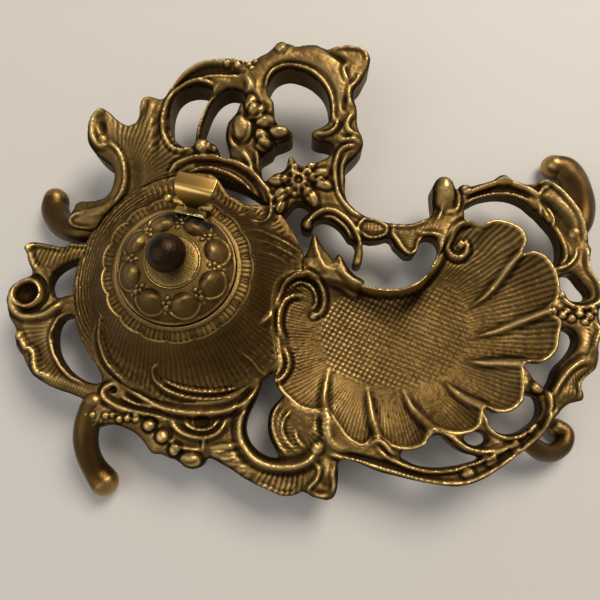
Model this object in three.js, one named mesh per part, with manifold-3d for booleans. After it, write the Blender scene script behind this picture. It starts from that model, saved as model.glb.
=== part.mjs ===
// Desk inkstand in cast and turned brass: a pierced scrollwork tray on four curled feet, with a shell dish
// for pens on the right and a fluted ink well on the left. The well holds a glass insert under a hinged,
// embossed lid with a bullet finial and a thumb tab. Millimetres, +Z up, the viewer's side is -Y.
import * as THREE from "three";
import { mergeVertices } from "three/addons/utils/BufferGeometryUtils.js";
import Module from "manifold-3d";

const wasm = await Module();
wasm.setup();

// Tray: outline places are shares of these two lengths, counted from the front left corner
const trayLength = 240;
const trayDepth = 190;
const borderLevel = 20; // height of the front and left scrolls above the desk
const galleryRise = 15; // how much higher the back gallery stands
const rightRise = 4; // how much higher the right border stands
const borderThickness = 8;
const galleryThickness = 12;
const plateDrop = 0.9; // how far the pierced plate lies below the crests of its scrolls
const ridgeDepth = 3; // how deep a scroll's body sinks into the plate
const knobLift = 1; // how far the middles of knobs and beads stand over the plate
const tongueThickness = 8; // leaves and C scrolls that belong to the dish
const fitGap = 0.3; // clearance between pieces that seat on each other
const overrun = 5; // how far a cutting body runs past what it cuts
const smallFaces = 28; // faces round the small turned pieces
const footFaces = 8; // faces round a foot

// Feet
const footRadius = 4.7;
const curlRadius = 3.3; // the thinner front right foot
const padCut = 0.55; // how much of the round foot is filed flat where it stands
const rootCover = 1; // metal left over the root of a foot

// Ink well, all round one upright axis; its radii build up from the lid's
const wellShare = [0.3033, 0.4668]; // share of the length, share of the depth
const wellX = wellShare[0] * trayLength;
const wellY = wellShare[1] * trayDepth;
const lidRadius = 21.6;
const collarPlay = 0.4; // how much wider than the lid the collar's bore is
const collarWidth = 4.5; // from the collar's bore to its edge
const collarBore = lidRadius + collarPlay;
const collarRadius = collarBore + collarWidth;
const collarThickness = 3.7;
const collarEdgeShares = [0.3, 0.5, 0.7, 0.85]; // levels of the collar's rounded edge in its thickness
const collarLedge = 2.5; // width of the ledge that carries the glass
const collarLedgeDrop = 3;
const collarLobes = 17;
const lobeHeight = 0.9;
const lobeFaces = 3;
const collarOverhang = 2.2; // how far the collar reaches out over the housing's bore
const spigotLength = 1.5;
const housingBore = collarRadius - collarOverhang;
const landWidth = 1.7; // flat land at the housing's top, under the collar
const housingTopRadius = housingBore + landWidth;
const housingFootShare = 0.25; // of the tray's depth
const housingFootRadius = housingFootShare * trayDepth;
const housingFootLevel = 14;
const housingTopLevel = 42;
const housingWall = 2.6;
const housingFaces = 48;
const rimRollRows = 3; // rows of the housing's outline that belong to the roll round its foot
const skirtWallShare = 1.25; // the sloping wall when measured level
const pinchTurn = 62.5; // degrees from +X to where the housing's foot draws in beside an opening
const pinchNarrow = 4; // degrees to each side with the full draw
const pinchWide = 19.5;
const pinchShare = 0.38;

// Glass insert
const insertWall = 2;
const insertFloor = 3;
const insertDepth = 29;
const insertFlange = 1.6;

// Lid
const lidRise = 6.6;
const lidWall = 1.3;
const sideWallShare = 0.7; // how much of the lid's wall its sloping side has when measured level
const lidCrownRadius = 10.4;
const lidFaces = 36;
const lidBosses = 8;
const bossLength = 4.1;
const bossWidth = 3.3;
const bossHeight = 1.7;
const bossLevelShare = 0.82; // of the lid's rise
const bossTurn = 16.5; // degrees from +X to the first boss
const bossLean = 22; // degrees that the bosses tip outward

// Finial and what holds it
const seatRadius = 9.9;
const seatThickness = 0.8;
const seatLip = 0.7;
const finialRadius = 6.8;
const finialHeight = 15;
const finialFootRadius = 4.6;
const studRadius = 1.5;
const studDepth = 5.6; // how far the stud reaches into the finial
const nutRadius = 3.3;
const nutHeight = 1.7;

// Hinge, behind the lid; its pin shows a ball at one end only
const hingeTurn = 14; // degrees from +Y towards +X
const hingeSetback = 1.8; // from the collar's bore to the pin
const hingeOffset = collarBore + hingeSetback; // from the well axis to the pin
const hingeLift = 3.2; // pin axis above the collar's top
const pinRadius = 0.7;
const pinReach = 9.6; // from the middle of the hinge to the ball
const pinBall = 1.7;
const knuckleRadius = 1.5;
const knuckleWidth = 6.4;
const earWidth = 3.6;
const leafThickness = 0.9;
const earFrontShare = 0.8; // reach of the ears in front of the pin, in radii of the knuckle
const stripShare = 0.8; // thickness of the collar's strip, in leaf thicknesses
const leafWidth = 11; // the leaf that is soldered on the lid
const leafDepth = 3.2;

// Thumb tab, a plate bent once; it leans out from the front of the knuckle
const tabThickness = 1.2;
const tabBaseWidth = 4.2;
const tabWidth = 13.6;
const tabTopWidth = 15;
const tabLegOut = 5;
const tabLegUp = 4.4;
const tabTopOut = 6.2;
const tabTopDroop = 0.8;
const tabTailShare = 0.12; // how far the tab's foot runs back under the knuckle, of its leg

// Shell dish
const dishCentreShare = [0.66, 0.355];
const dishFloorLevel = 9.5;
const dishWall = 2.8;
const dishRibHeight = 1.3;
const dishSpokes = 84;
const evenRiseShare = 0.25; // of the dish's rise that goes up evenly from the middle
const steepRiseShare = 0.75; // of its rise that comes near the rim
const ribTurn = 3.2; // degrees from a rib's crest to its side
const ribStartShares = [0.42, 0.6]; // where the ribs rise, on the way from the middle to the rim

const capLevel = borderLevel + galleryRise + galleryThickness; // above all tray castings
const collarTop = housingTopLevel + fitGap + collarThickness;
const lidRimLevel = collarTop + fitGap;
const lidCrownLevel = lidRimLevel + lidRise;
const seatLevel = lidCrownLevel + fitGap;
const finialLevel = seatLevel + seatThickness + fitGap;
const hingeLevel = collarTop + hingeLift;

const brass = { color: 0x7d6235, roughness: 0.42, metalness: 1 };
const palette = {
  castBrass: new THREE.MeshStandardMaterial(brass),
  darkBrass: new THREE.MeshStandardMaterial({ ...brass, color: 0x5c4524, roughness: 0.5 }),
  brightBrass: new THREE.MeshStandardMaterial({ ...brass, color: 0xb08a3e, roughness: 0.3 }),
  finialBronze: new THREE.MeshStandardMaterial({ ...brass, color: 0x46301c, roughness: 0.3 }),
  clearGlass: new THREE.MeshStandardMaterial({ color: 0xcfe0dc, roughness: 0.05, metalness: 0 }),
};

// Where the casting climbs: the gallery from front to back, the right border from left to right.
const climbShares = { gallery: [0.526, 0.99], right: [0.625, 0.73] };

// How much a place belongs to the gallery, from nothing to all of it.
function galleryShare(u, v) {
  const back = THREE.MathUtils.smoothstep(v, ...climbShares.gallery);
  return back * (1 - THREE.MathUtils.smoothstep(u, ...climbShares.right));
}

// Level of the casting's top at a place given in shares of the tray.
function trayLevel(u, v) {
  const right = THREE.MathUtils.smoothstep(u, ...climbShares.right);
  return borderLevel + galleryRise * galleryShare(u, v) + rightRise * right;
}

// Closed body through rings of points; the end rings are capped unless the loft closes on itself.
function loft(rings, closesOnItself = false) {
  const count = rings[0].length;
  const positions = rings.flatMap((ring) => ring.flatMap((point) => [point.x, point.y, point.z]));
  const faces = [];
  const last = closesOnItself ? rings.length : rings.length - 1;
  for (let k = 0; k < last; k++) {
    const next = (k + 1) % rings.length;
    for (let i = 0; i < count; i++) {
      const j = (i + 1) % count;
      const [a, b, c, d] = [k * count + i, k * count + j, next * count + j, next * count + i];
      faces.push(a, b, c, a, c, d);
    }
  }
  if (!closesOnItself) {
    const end = (rings.length - 1) * count;
    for (let i = 1; i < count - 1; i++) faces.push(0, i + 1, i, end, end + i, end + i + 1);
  }
  const geometry = new THREE.BufferGeometry();
  geometry.setAttribute("position", new THREE.Float32BufferAttribute(positions, 3));
  geometry.setIndex(faces);
  return geometry;
}

// A three.js geometry as a solid that can be cut and joined.
function solid(geometry) {
  const bare = geometry.clone();
  bare.deleteAttribute("normal");
  bare.deleteAttribute("uv");
  const merged = mergeVertices(bare, fitGap / 1000);
  const mesh = new wasm.Mesh({
    numProp: 3,
    vertProperties: merged.attributes.position.array,
    triVerts: new Uint32Array(merged.index.array),
  });
  return new wasm.Manifold(mesh);
}

function join(solids) {
  return solids.reduce((whole, piece) => whole.add(piece));
}

function cutAway(body, cutters) {
  return cutters.reduce((rest, cutter) => rest.subtract(cutter), body);
}

function geometryOf(body) {
  const mesh = body.getMesh();
  const geometry = new THREE.BufferGeometry();
  geometry.setAttribute("position", new THREE.BufferAttribute(mesh.vertProperties, 3));
  geometry.setIndex(new THREE.BufferAttribute(mesh.triVerts, 1));
  geometry.computeVertexNormals();
  return geometry;
}

function piece(name, geometry, material) {
  const mesh = new THREE.Mesh(geometry, material);
  mesh.name = name;
  return mesh;
}

// Half width of a stroke part of the way from one row of its table to the next.
function widthAlong(rows, t, column) {
  const place = t * (rows.length - 1);
  const row = Math.min(Math.floor(place), rows.length - 2);
  return THREE.MathUtils.lerp(rows[row][column], rows[row + 1][column], place - row);
}

const turnReachShare = 0.85; // of the radius of the turn

// How far a curve may spread to each side of a station before its sections would cross.
function turnLimits(centres, k) {
  const before = centres[k].clone().sub(centres[k - 1]);
  const after = centres[k + 1].clone().sub(centres[k]);
  const turn = before.x * after.y - before.y * after.x;
  const angle = before.angleTo(after);
  const radius = angle < 1e-6 ? Infinity : (before.length() + after.length()) / 2 / angle;
  const limit = turnReachShare * radius;
  return turn > 0 ? { left: limit, right: Infinity } : { left: Infinity, right: limit };
}

// A scroll's section: across in half widths, above the shoulder in half widths, below it in depths.
const sectionShares = [[-1, 0, -1], [-0.75, 0.08, 0], [0, 0.32, 0], [0.75, 0.08, 0], [1, 0, -1]];
const noseShare = 0.62; // reach of a scroll's rounded end, in half widths
const noseWidthShare = 0.5;

// A scroll, leaf or strut of the casting: a section swept along a curve through rows of
// [share of length, share of depth, half width as a share of length], with rounded noses.
function scroll(rows, { depth = ridgeDepth, lift = 0, grow = 0, levelAt = trayLevel } = {}) {
  const heart = rows.map(([u, v]) => new THREE.Vector3(u * trayLength, v * trayDepth, levelAt(u, v) + lift));
  const curve = new THREE.CatmullRomCurve3(heart, false, "centripetal");
  const count = Math.max(2, rows.length - 1);
  const centres = [];
  const halfWidths = [];
  for (let k = 0; k <= count; k++) {
    centres.push(curve.getPoint(k / count));
    halfWidths.push(widthAlong(rows, k / count, 2) * trayLength);
  }
  const noseAt = (end, inner) => {
    const reach = halfWidths[end] * noseShare;
    return centres[end].clone().sub(centres[inner]).setLength(reach).add(centres[end]);
  };
  const noses = [noseAt(0, 1), noseAt(count, count - 1)];
  centres.unshift(noses[0]);
  centres.push(noses[1]);
  halfWidths.unshift(halfWidths[0] * noseWidthShare);
  halfWidths.push(halfWidths[count + 1] * noseWidthShare);
  const rings = centres.map((centre, k) => {
    const from = centres[Math.max(k - 1, 0)];
    const to = centres[Math.min(k + 1, centres.length - 1)];
    const right = new THREE.Vector3(to.y - from.y, from.x - to.x, 0).normalize();
    const inside = k > 0 && k < centres.length - 1;
    const limit = inside ? turnLimits(centres, k) : { left: Infinity, right: Infinity };
    return sectionShares.map(([across, above, below]) => {
      const reach = Math.min(halfWidths[k], across < 0 ? limit.left : limit.right) + grow;
      const height = above * halfWidths[k] + below * depth + Math.sign(above + below) * grow;
      return centre.clone().addScaledVector(right, across * reach).setZ(centre.z + height);
    });
  });
  return solid(loft(rings));
}

// The rounded end of a foot: reach past its last point and radius, in radii of the end.
const tipRingShares = [[0.55, 0.84], [0.9, 0.42]];

// A round bar bent through points in space, for the feet.
function bar(points, radii, sides, grow = 0) {
  const curve = new THREE.CatmullRomCurve3(points, false, "centripetal");
  const count = (points.length - 1) * 2;
  const rings = [];
  const ring = (centre, along, radius) => {
    const right = new THREE.Vector3(along.y, -along.x, 0).normalize();
    const up = right.clone().cross(along).normalize();
    return Array.from({ length: sides }, (_, i) => {
      const angle = (-2 * Math.PI * (i + 0.5)) / sides;
      return centre
        .clone()
        .addScaledVector(right, radius * Math.cos(angle))
        .addScaledVector(up, radius * Math.sin(angle));
    });
  };
  for (let k = 0; k <= count; k++) {
    const t = k / count;
    const place = t * (radii.length - 1);
    const row = Math.min(Math.floor(place), radii.length - 2);
    const radius = THREE.MathUtils.lerp(radii[row], radii[row + 1], place - row);
    rings.push(ring(curve.getPoint(t), curve.getTangent(t), radius + grow));
  }
  const tipRadius = radii[radii.length - 1];
  const tip = curve.getPoint(1);
  const along = curve.getTangent(1);
  for (const [reach, width] of tipRingShares) {
    rings.push(ring(tip.clone().addScaledVector(along, reach * tipRadius), along, width * tipRadius + grow));
  }
  return solid(loft(rings));
}

function box(lowX, highX, lowY, highY, lowZ, highZ) {
  const geometry = new THREE.BoxGeometry(highX - lowX, highY - lowY, highZ - lowZ);
  geometry.translate((lowX + highX) / 2, (lowY + highY) / 2, (lowZ + highZ) / 2);
  return solid(geometry);
}

function cylinder(radius, low, high, segments = 24) {
  const geometry = new THREE.CylinderGeometry(radius, radius, high - low, segments);
  geometry.rotateX(Math.PI / 2);
  geometry.translate(0, 0, (low + high) / 2);
  return solid(geometry);
}

const knobRowShare = 0.6; // rows of a knob to its segments

// A dome, bead or knob standing on the casting at a place given in shares.
function knob(u, v, radius, level, flatness = 1, segments = 10) {
  const geometry = new THREE.SphereGeometry(radius, segments, Math.round(segments * knobRowShare));
  geometry.rotateX(Math.PI / 2);
  geometry.scale(1, 1, flatness);
  geometry.translate(u * trayLength, v * trayDepth, level);
  return solid(geometry);
}

// A body turned round the well's axis, its radius changed by an optional function of angle.
function turned(profile, segments, radiusAt = (radius) => radius) {
  const rings = profile.map(([radius, level]) =>
    Array.from({ length: segments }, (_, i) => {
      const angle = (2 * Math.PI * i) / segments;
      const reach = radiusAt(radius, angle);
      return new THREE.Vector3(reach * Math.cos(angle), reach * Math.sin(angle), level);
    }),
  );
  return loft(rings, true);
}

// The housing's foot draws in where a pierced opening lies behind it.
function housingReach(radius, angle) {
  const turn = angle - THREE.MathUtils.degToRad(pinchTurn);
  const near = THREE.MathUtils.radToDeg(Math.abs(Math.atan2(Math.sin(turn), Math.cos(turn))));
  const pinch = pinchShare * (1 - THREE.MathUtils.smoothstep(near, pinchNarrow, pinchWide));
  const waist = housingTopRadius + housingWall;
  return radius > waist ? radius - pinch * (radius - waist) : radius;
}

// Outside of the housing from its foot to its top land: share of the flare, share of the height.
const housingOutlineShares = [
  [1.035, 0], [1.045, 0.09], [0.97, 0.185], [0.8, 0.21], [0.56, 0.38], [0.37, 0.57], [0.21, 0.785],
  [0.1, 0.915],
  [0, 1],
];

// Arcs and leaf ridges that lie on the housing.
const housingRidgeShares = [
  [[0.255, 0.285, 0.006], [0.275, 0.249, 0.007], [0.305, 0.239, 0.008], [0.34, 0.241, 0.008],
   [0.375, 0.252, 0.007]],
  [[0.171, 0.375, 0.008], [0.167, 0.34, 0.008], [0.181, 0.302, 0.008], [0.205, 0.27, 0.007],
   [0.232, 0.249, 0.006]],
  [[0.418, 0.568, 0.008], [0.45, 0.566, 0.01], [0.475, 0.553, 0.01], [0.497, 0.539, 0.008]],
];

function housingProfile(grow = 0) {
  const flare = housingFootRadius - housingTopRadius;
  const height = housingTopLevel - housingFootLevel;
  return housingOutlineShares.map(([out, up]) => [
    housingTopRadius + flare * out + grow,
    housingFootLevel + height * up + grow * up,
  ]);
}

// Level of the housing's outside at a place.
function housingLevel(u, v) {
  const [x, y] = [u * trayLength - wellX, v * trayDepth - wellY];
  const outside = housingProfile().map(([radius, level]) => [housingReach(radius, Math.atan2(y, x)), level]);
  const reach = Math.hypot(x, y);
  const k = outside.findIndex(([radius], i) => i > 1 && radius <= reach);
  const [[outer, low], [inner, high]] = [outside[k - 1], outside[k]];
  return THREE.MathUtils.mapLinear(Math.min(reach, outer), inner, outer, high, low);
}

function wellHousing(dishEnvelope) {
  const outside = housingProfile();
  const inside = outside
    .filter(([, level]) => level < housingTopLevel - spigotLength - housingWall)
    .filter((_, i) => i === 0 || i > rimRollRows)
    .map(([radius, level]) => [radius - skirtWallShare * housingWall, level]);
  const throat = [
    [housingBore, housingTopLevel], [housingBore, housingTopLevel - spigotLength - 2 * housingWall],
  ];
  const body = solid(turned([...outside, ...throat, ...inside.reverse()], housingFaces, housingReach));
  return join([body.translate([wellX, wellY, 0]), ...housingRidges()]).subtract(dishEnvelope);
}

function housingRidges(grow = 0) {
  const depth = housingWall / 2;
  return housingRidgeShares.map((rows) => scroll(rows, { levelAt: housingLevel, depth, grow }));
}

// The room over the housing's foot that the low borders leave free.
function housingSurround() {
  const reach = Math.max(...housingProfile(fitGap).map(([radius]) => radius));
  const profile = [[reach, -overrun], [reach, capLevel], [housingBore, capLevel], [housingBore, -overrun]];
  return solid(turned(profile, housingFaces, housingReach)).translate([wellX, wellY, 0]);
}

function housingEnvelope() {
  const outside = housingProfile(fitGap);
  const core = [
    [housingBore, outside[outside.length - 1][1]],
    [housingBore, -overrun],
    [outside[0][0], -overrun],
  ];
  const ring = solid(turned([...outside, ...core], housingFaces, housingReach));
  return ring.add(cylinder(housingBore + fitGap, -overrun, housingTopLevel)).translate([wellX, wellY, 0]);
}

// Rim of the shell dish: its lobes run from notch to notch, then the rim turns in for the open C at the back.
const dishRimShares = [
  [0.905, 0.41], [0.919, 0.435], [0.924, 0.468], [0.919, 0.5], [0.905, 0.529], [0.884, 0.54], [0.868, 0.536],
  [0.877, 0.565], [0.868, 0.592], [0.846, 0.607], [0.822, 0.611], [0.8, 0.6], [0.782, 0.606], [0.762, 0.604],
  [0.745, 0.582], [0.736, 0.56], [0.724, 0.53], [0.71, 0.5], [0.69, 0.475], [0.66, 0.461], [0.63, 0.461],
  [0.603, 0.467], [0.582, 0.479], [0.567, 0.498], [0.552, 0.52], [0.532, 0.51], [0.505, 0.5], [0.478, 0.492],
  [0.458, 0.47], [0.45, 0.44], [0.447, 0.405], [0.447, 0.37], [0.452, 0.335], [0.455, 0.3], [0.448, 0.275],
  [0.455, 0.248], [0.472, 0.225], [0.49, 0.208], [0.512, 0.202], [0.53, 0.203], [0.545, 0.18], [0.562, 0.15],
  [0.588, 0.132], [0.614, 0.15], [0.636, 0.131], [0.662, 0.126], [0.686, 0.136], [0.7, 0.164],
  [0.724, 0.158],
  [0.75, 0.157], [0.772, 0.17], [0.786, 0.21], [0.805, 0.2], [0.826, 0.203], [0.844, 0.222], [0.85, 0.25],
  [0.856, 0.3], [0.886, 0.303], [0.907, 0.325], [0.914, 0.356], [0.92, 0.386],
];
const dishRibShares = [
  [0.905, 0.41], [0.868, 0.536], [0.53, 0.203], [0.614, 0.15], [0.7, 0.164], [0.786, 0.21], [0.856, 0.3],
];

function fromDishCentre([u, v]) {
  const x = (u - dishCentreShare[0]) * trayLength;
  const y = (v - dishCentreShare[1]) * trayDepth;
  return { angle: Math.atan2(y, x), radius: Math.hypot(x, y) };
}

// Distance from the dish's centre to its rim in a direction, read off the rim's outline.
function dishReach(angle) {
  const rim = dishRimShares.map(fromDishCentre);
  const wrap = (value) => ((value % (2 * Math.PI)) + 2 * Math.PI) % (2 * Math.PI);
  for (let i = 0; i < rim.length; i++) {
    const [a, b] = [rim[i], rim[(i + 1) % rim.length]];
    const span = wrap(b.angle - a.angle);
    const along = wrap(angle - a.angle);
    if (span < Math.PI && along <= span) {
      const chord = a.radius * Math.sin(along) + b.radius * Math.sin(span - along);
      return (a.radius * b.radius * Math.sin(span)) / chord;
    }
  }
  return rim[0].radius;
}

// Lift of the ribs and hollow of the lobes between them, for a direction and a share of the way to the rim.
function dishRelief(angle, outShare) {
  const nearest = Math.min(
    ...dishRibShares.map(fromDishCentre).map((rib) => {
      const turn = angle - rib.angle;
      return Math.abs(Math.atan2(Math.sin(turn), Math.cos(turn)));
    }),
  );
  const rib = Math.exp(-((nearest / THREE.MathUtils.degToRad(ribTurn)) ** 2));
  return rib * dishRibHeight * THREE.MathUtils.smoothstep(outShare, ...ribStartShares);
}

function dishRing(outShare, lower, grow) {
  return Array.from({ length: dishSpokes }, (_, i) => {
    const angle = (2 * Math.PI * i) / dishSpokes;
    const rim = dishReach(angle) + grow;
    const reach = rim * outShare;
    const [x, y] = [reach * Math.cos(angle), reach * Math.sin(angle)];
    const rimU = dishCentreShare[0] + (rim * Math.cos(angle)) / trayLength;
    const rimV = dishCentreShare[1] + (rim * Math.sin(angle)) / trayDepth;
    const wall = trayLevel(rimU, rimV) - dishFloorLevel;
    const level = dishFloorLevel + wall * (evenRiseShare * outShare + steepRiseShare * outShare ** 3);
    const relief = lower ? 0 : dishRelief(angle, outShare);
    return new THREE.Vector3(
      dishCentreShare[0] * trayLength + x,
      dishCentreShare[1] * trayDepth + y,
      level + relief - lower,
    );
  });
}

// Leaves at the back of the dish that reach over the well's foot and the hook's opening.
const dishLeafShares = [
  [[0.53, 0.47, 0.018], [0.518, 0.52, 0.014], [0.514, 0.56, 0.009], [0.512, 0.58, 0.006]],
  [[0.565, 0.475, 0.012], [0.557, 0.5, 0.007], [0.556, 0.515, 0.005]],
];

// The C scrolls that part the dish from the fluted well.
const dishDividerShares = [
  [[0.517, 0.412, 0.008], [0.529, 0.435, 0.009], [0.524, 0.468, 0.01], [0.497, 0.489, 0.01],
   [0.472, 0.478, 0.01],
   [0.462, 0.45, 0.01], [0.456, 0.41, 0.011], [0.457, 0.37, 0.01], [0.463, 0.34, 0.008]],
  [[0.464, 0.325, 0.007], [0.47, 0.3, 0.008], [0.464, 0.275, 0.009], [0.446, 0.268, 0.009]],
];

function dishTrim(grow = 0) {
  const leaves = dishLeafShares.map((rows) => scroll(rows, { depth: tongueThickness, grow }));
  const dividers = dishDividerShares.map((rows) => {
    return scroll(rows, { depth: tongueThickness, lift: rightRise / 2, grow });
  });
  return [...leaves, ...dividers];
}

function shellDish() {
  const topShares = [0.06, 0.36, 0.6, 0.78, 0.91, 1];
  const lowerShares = [0.985, 0.86, 0.68, 0.4, 0.06];
  const rings = [
    ...topShares.map((share) => dishRing(share, 0, 0)),
    ...lowerShares.map((share) => dishRing(share, dishWall, 0)),
  ].reverse();
  return join([solid(loft(rings)), ...dishTrim()]);
}

// All the room the dish takes in the plate, with a gap round it.
function dishEnvelope() {
  const rings = [dishRing(1, borderLevel, fitGap), dishRing(1, -borderLevel, fitGap)];
  return join([solid(loft(rings)), ...dishTrim(fitGap)]);
}

// Outline of the whole pierced plate seen from above.
const plateOutlineShares = [
  // left border, from the foot in front up to the leaf
  [0.137, 0.226], [0.12, 0.237], [0.1, 0.245], [0.08, 0.255], [0.06, 0.269], [0.049, 0.279],
  [0.043, 0.29], [0.037, 0.303], [0.032, 0.316], [0.024, 0.327], [0.018, 0.338], [0.015, 0.352],
  [0.016, 0.368], [0.012, 0.38], [0.005, 0.392], [-0.001, 0.404], [-0.006, 0.422], [-0.008, 0.44],
  [-0.006, 0.457], [0, 0.47], [0.009, 0.479], [0.021, 0.487], [0.03, 0.497], [0.026, 0.512],
  [0.02, 0.528], [0.018, 0.54], [0.015, 0.55], [0.017, 0.56], [0.025, 0.566], [0.04, 0.566],
  [0.058, 0.561], [0.075, 0.557], [0.085, 0.559], [0.091, 0.566], [0.105, 0.564], [0.125, 0.561],
  [0.14, 0.56],
  // C scroll and ear at the back left
  [0.14, 0.585], [0.128, 0.59], [0.112, 0.593], [0.098, 0.597], [0.088, 0.605], [0.085, 0.616],
  [0.088, 0.628], [0.094, 0.64], [0.097, 0.65], [0.106, 0.657], [0.12, 0.657], [0.135, 0.659],
  [0.148, 0.663], [0.157, 0.672], [0.163, 0.686], [0.166, 0.702], [0.166, 0.719], [0.162, 0.731],
  [0.152, 0.741], [0.14, 0.752], [0.129, 0.766], [0.121, 0.781], [0.118, 0.8], [0.119, 0.82],
  [0.124, 0.84], [0.131, 0.852], [0.14, 0.859], [0.149, 0.855], [0.16, 0.845], [0.17, 0.833],
  [0.18, 0.824], [0.19, 0.82], [0.199, 0.824], [0.207, 0.834], [0.21, 0.846], [0.211, 0.86],
  [0.214, 0.873], [0.22, 0.881], [0.232, 0.882], [0.243, 0.878],
  // arches of the gallery
  [0.25, 0.878], [0.257, 0.888], [0.265, 0.902], [0.275, 0.92], [0.288, 0.938], [0.303, 0.953],
  [0.32, 0.963], [0.34, 0.969], [0.36, 0.971], [0.38, 0.968], [0.398, 0.963], [0.408, 0.967],
  [0.42, 0.977], [0.432, 0.986], [0.44, 0.996], [0.448, 1.007], [0.46, 1.013], [0.472, 1.008],
  [0.48, 1.0], [0.486, 0.998], [0.495, 1.003], [0.508, 1.005], [0.522, 1.004], [0.531, 0.998],
  [0.538, 0.995], [0.548, 0.999], [0.56, 1.002], [0.58, 1.003], [0.597, 1.0], [0.608, 0.99],
  [0.613, 0.975], [0.612, 0.957], [0.605, 0.938], [0.597, 0.918], [0.587, 0.903], [0.583, 0.89],
  [0.584, 0.876], [0.588, 0.861], [0.589, 0.845], [0.589, 0.826], [0.592, 0.81], [0.598, 0.795],
  [0.6, 0.779], [0.594, 0.765], [0.583, 0.75], [0.572, 0.736], [0.568, 0.722], [0.569, 0.705],
  [0.568, 0.69], [0.568, 0.675], [0.572, 0.66], [0.58, 0.647], [0.591, 0.635], [0.605, 0.625],
  [0.622, 0.617], [0.64, 0.611], [0.66, 0.607], [0.684, 0.605], [0.7, 0.611], [0.715, 0.62],
  [0.7195, 0.632], [0.7195, 0.65], [0.7195, 0.67], [0.72, 0.688], [0.728, 0.701], [0.74, 0.707],
  [0.751, 0.701], [0.758, 0.69], [0.762, 0.682],
  // right border
  [0.769, 0.69], [0.78, 0.694], [0.79, 0.692], [0.802, 0.696], [0.816, 0.701], [0.83, 0.706],
  [0.838, 0.714], [0.846, 0.718], [0.854, 0.714], [0.863, 0.706], [0.875, 0.7], [0.888, 0.696],
  [0.9, 0.695], [0.908, 0.702], [0.918, 0.706], [0.929, 0.704], [0.94, 0.695], [0.952, 0.68],
  [0.963, 0.662], [0.972, 0.645], [0.979, 0.625], [0.981, 0.602], [0.981, 0.575], [0.982, 0.558],
  [0.985, 0.545], [0.982, 0.527], [0.98, 0.507], [0.983, 0.49], [0.991, 0.478], [0.997, 0.462],
  [0.998, 0.442], [0.993, 0.424], [0.986, 0.41], [0.984, 0.394], [0.986, 0.375], [0.984, 0.355],
  [0.978, 0.336], [0.976, 0.318], [0.973, 0.302], [0.968, 0.288], [0.958, 0.278], [0.947, 0.267],
  [0.941, 0.256], [0.943, 0.24], [0.942, 0.226], [0.93, 0.221], [0.918, 0.217], [0.908, 0.208],
  [0.898, 0.194], [0.888, 0.18], [0.878, 0.165], [0.868, 0.151],
  // front border with its long leaf and the arch by the foot
  [0.855, 0.139], [0.84, 0.126], [0.825, 0.113], [0.81, 0.1], [0.795, 0.088], [0.78, 0.077],
  [0.765, 0.068], [0.75, 0.062], [0.735, 0.059], [0.72, 0.059], [0.7, 0.062], [0.68, 0.066],
  [0.66, 0.071], [0.64, 0.077], [0.62, 0.083], [0.6, 0.092], [0.585, 0.1], [0.57, 0.106], [0.556, 0.108],
  [0.55, 0.1], [0.55, 0.085], [0.549, 0.065], [0.546, 0.045], [0.54, 0.034], [0.531, 0.031],
  [0.52, 0.034], [0.508, 0.038], [0.5, 0.044], [0.493, 0.047], [0.486, 0.043], [0.475, 0.039],
  [0.462, 0.039], [0.45, 0.044], [0.44, 0.05], [0.43, 0.055], [0.42, 0.06], [0.41, 0.067], [0.4, 0.073],
  [0.391, 0.081], [0.38, 0.09], [0.368, 0.098], [0.355, 0.107], [0.346, 0.111], [0.34, 0.109],
  [0.336, 0.1], [0.328, 0.092], [0.317, 0.09], [0.307, 0.094], [0.3, 0.101], [0.291, 0.108],
  [0.28, 0.112], [0.27, 0.118], [0.262, 0.119], [0.255, 0.12], [0.249, 0.127], [0.243, 0.137],
  [0.236, 0.148], [0.228, 0.157], [0.218, 0.165], [0.205, 0.172], [0.19, 0.177], [0.175, 0.177],
  [0.162, 0.172], [0.15, 0.167], [0.138, 0.169], [0.131, 0.18], [0.132, 0.2], [0.137, 0.214],
];

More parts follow.
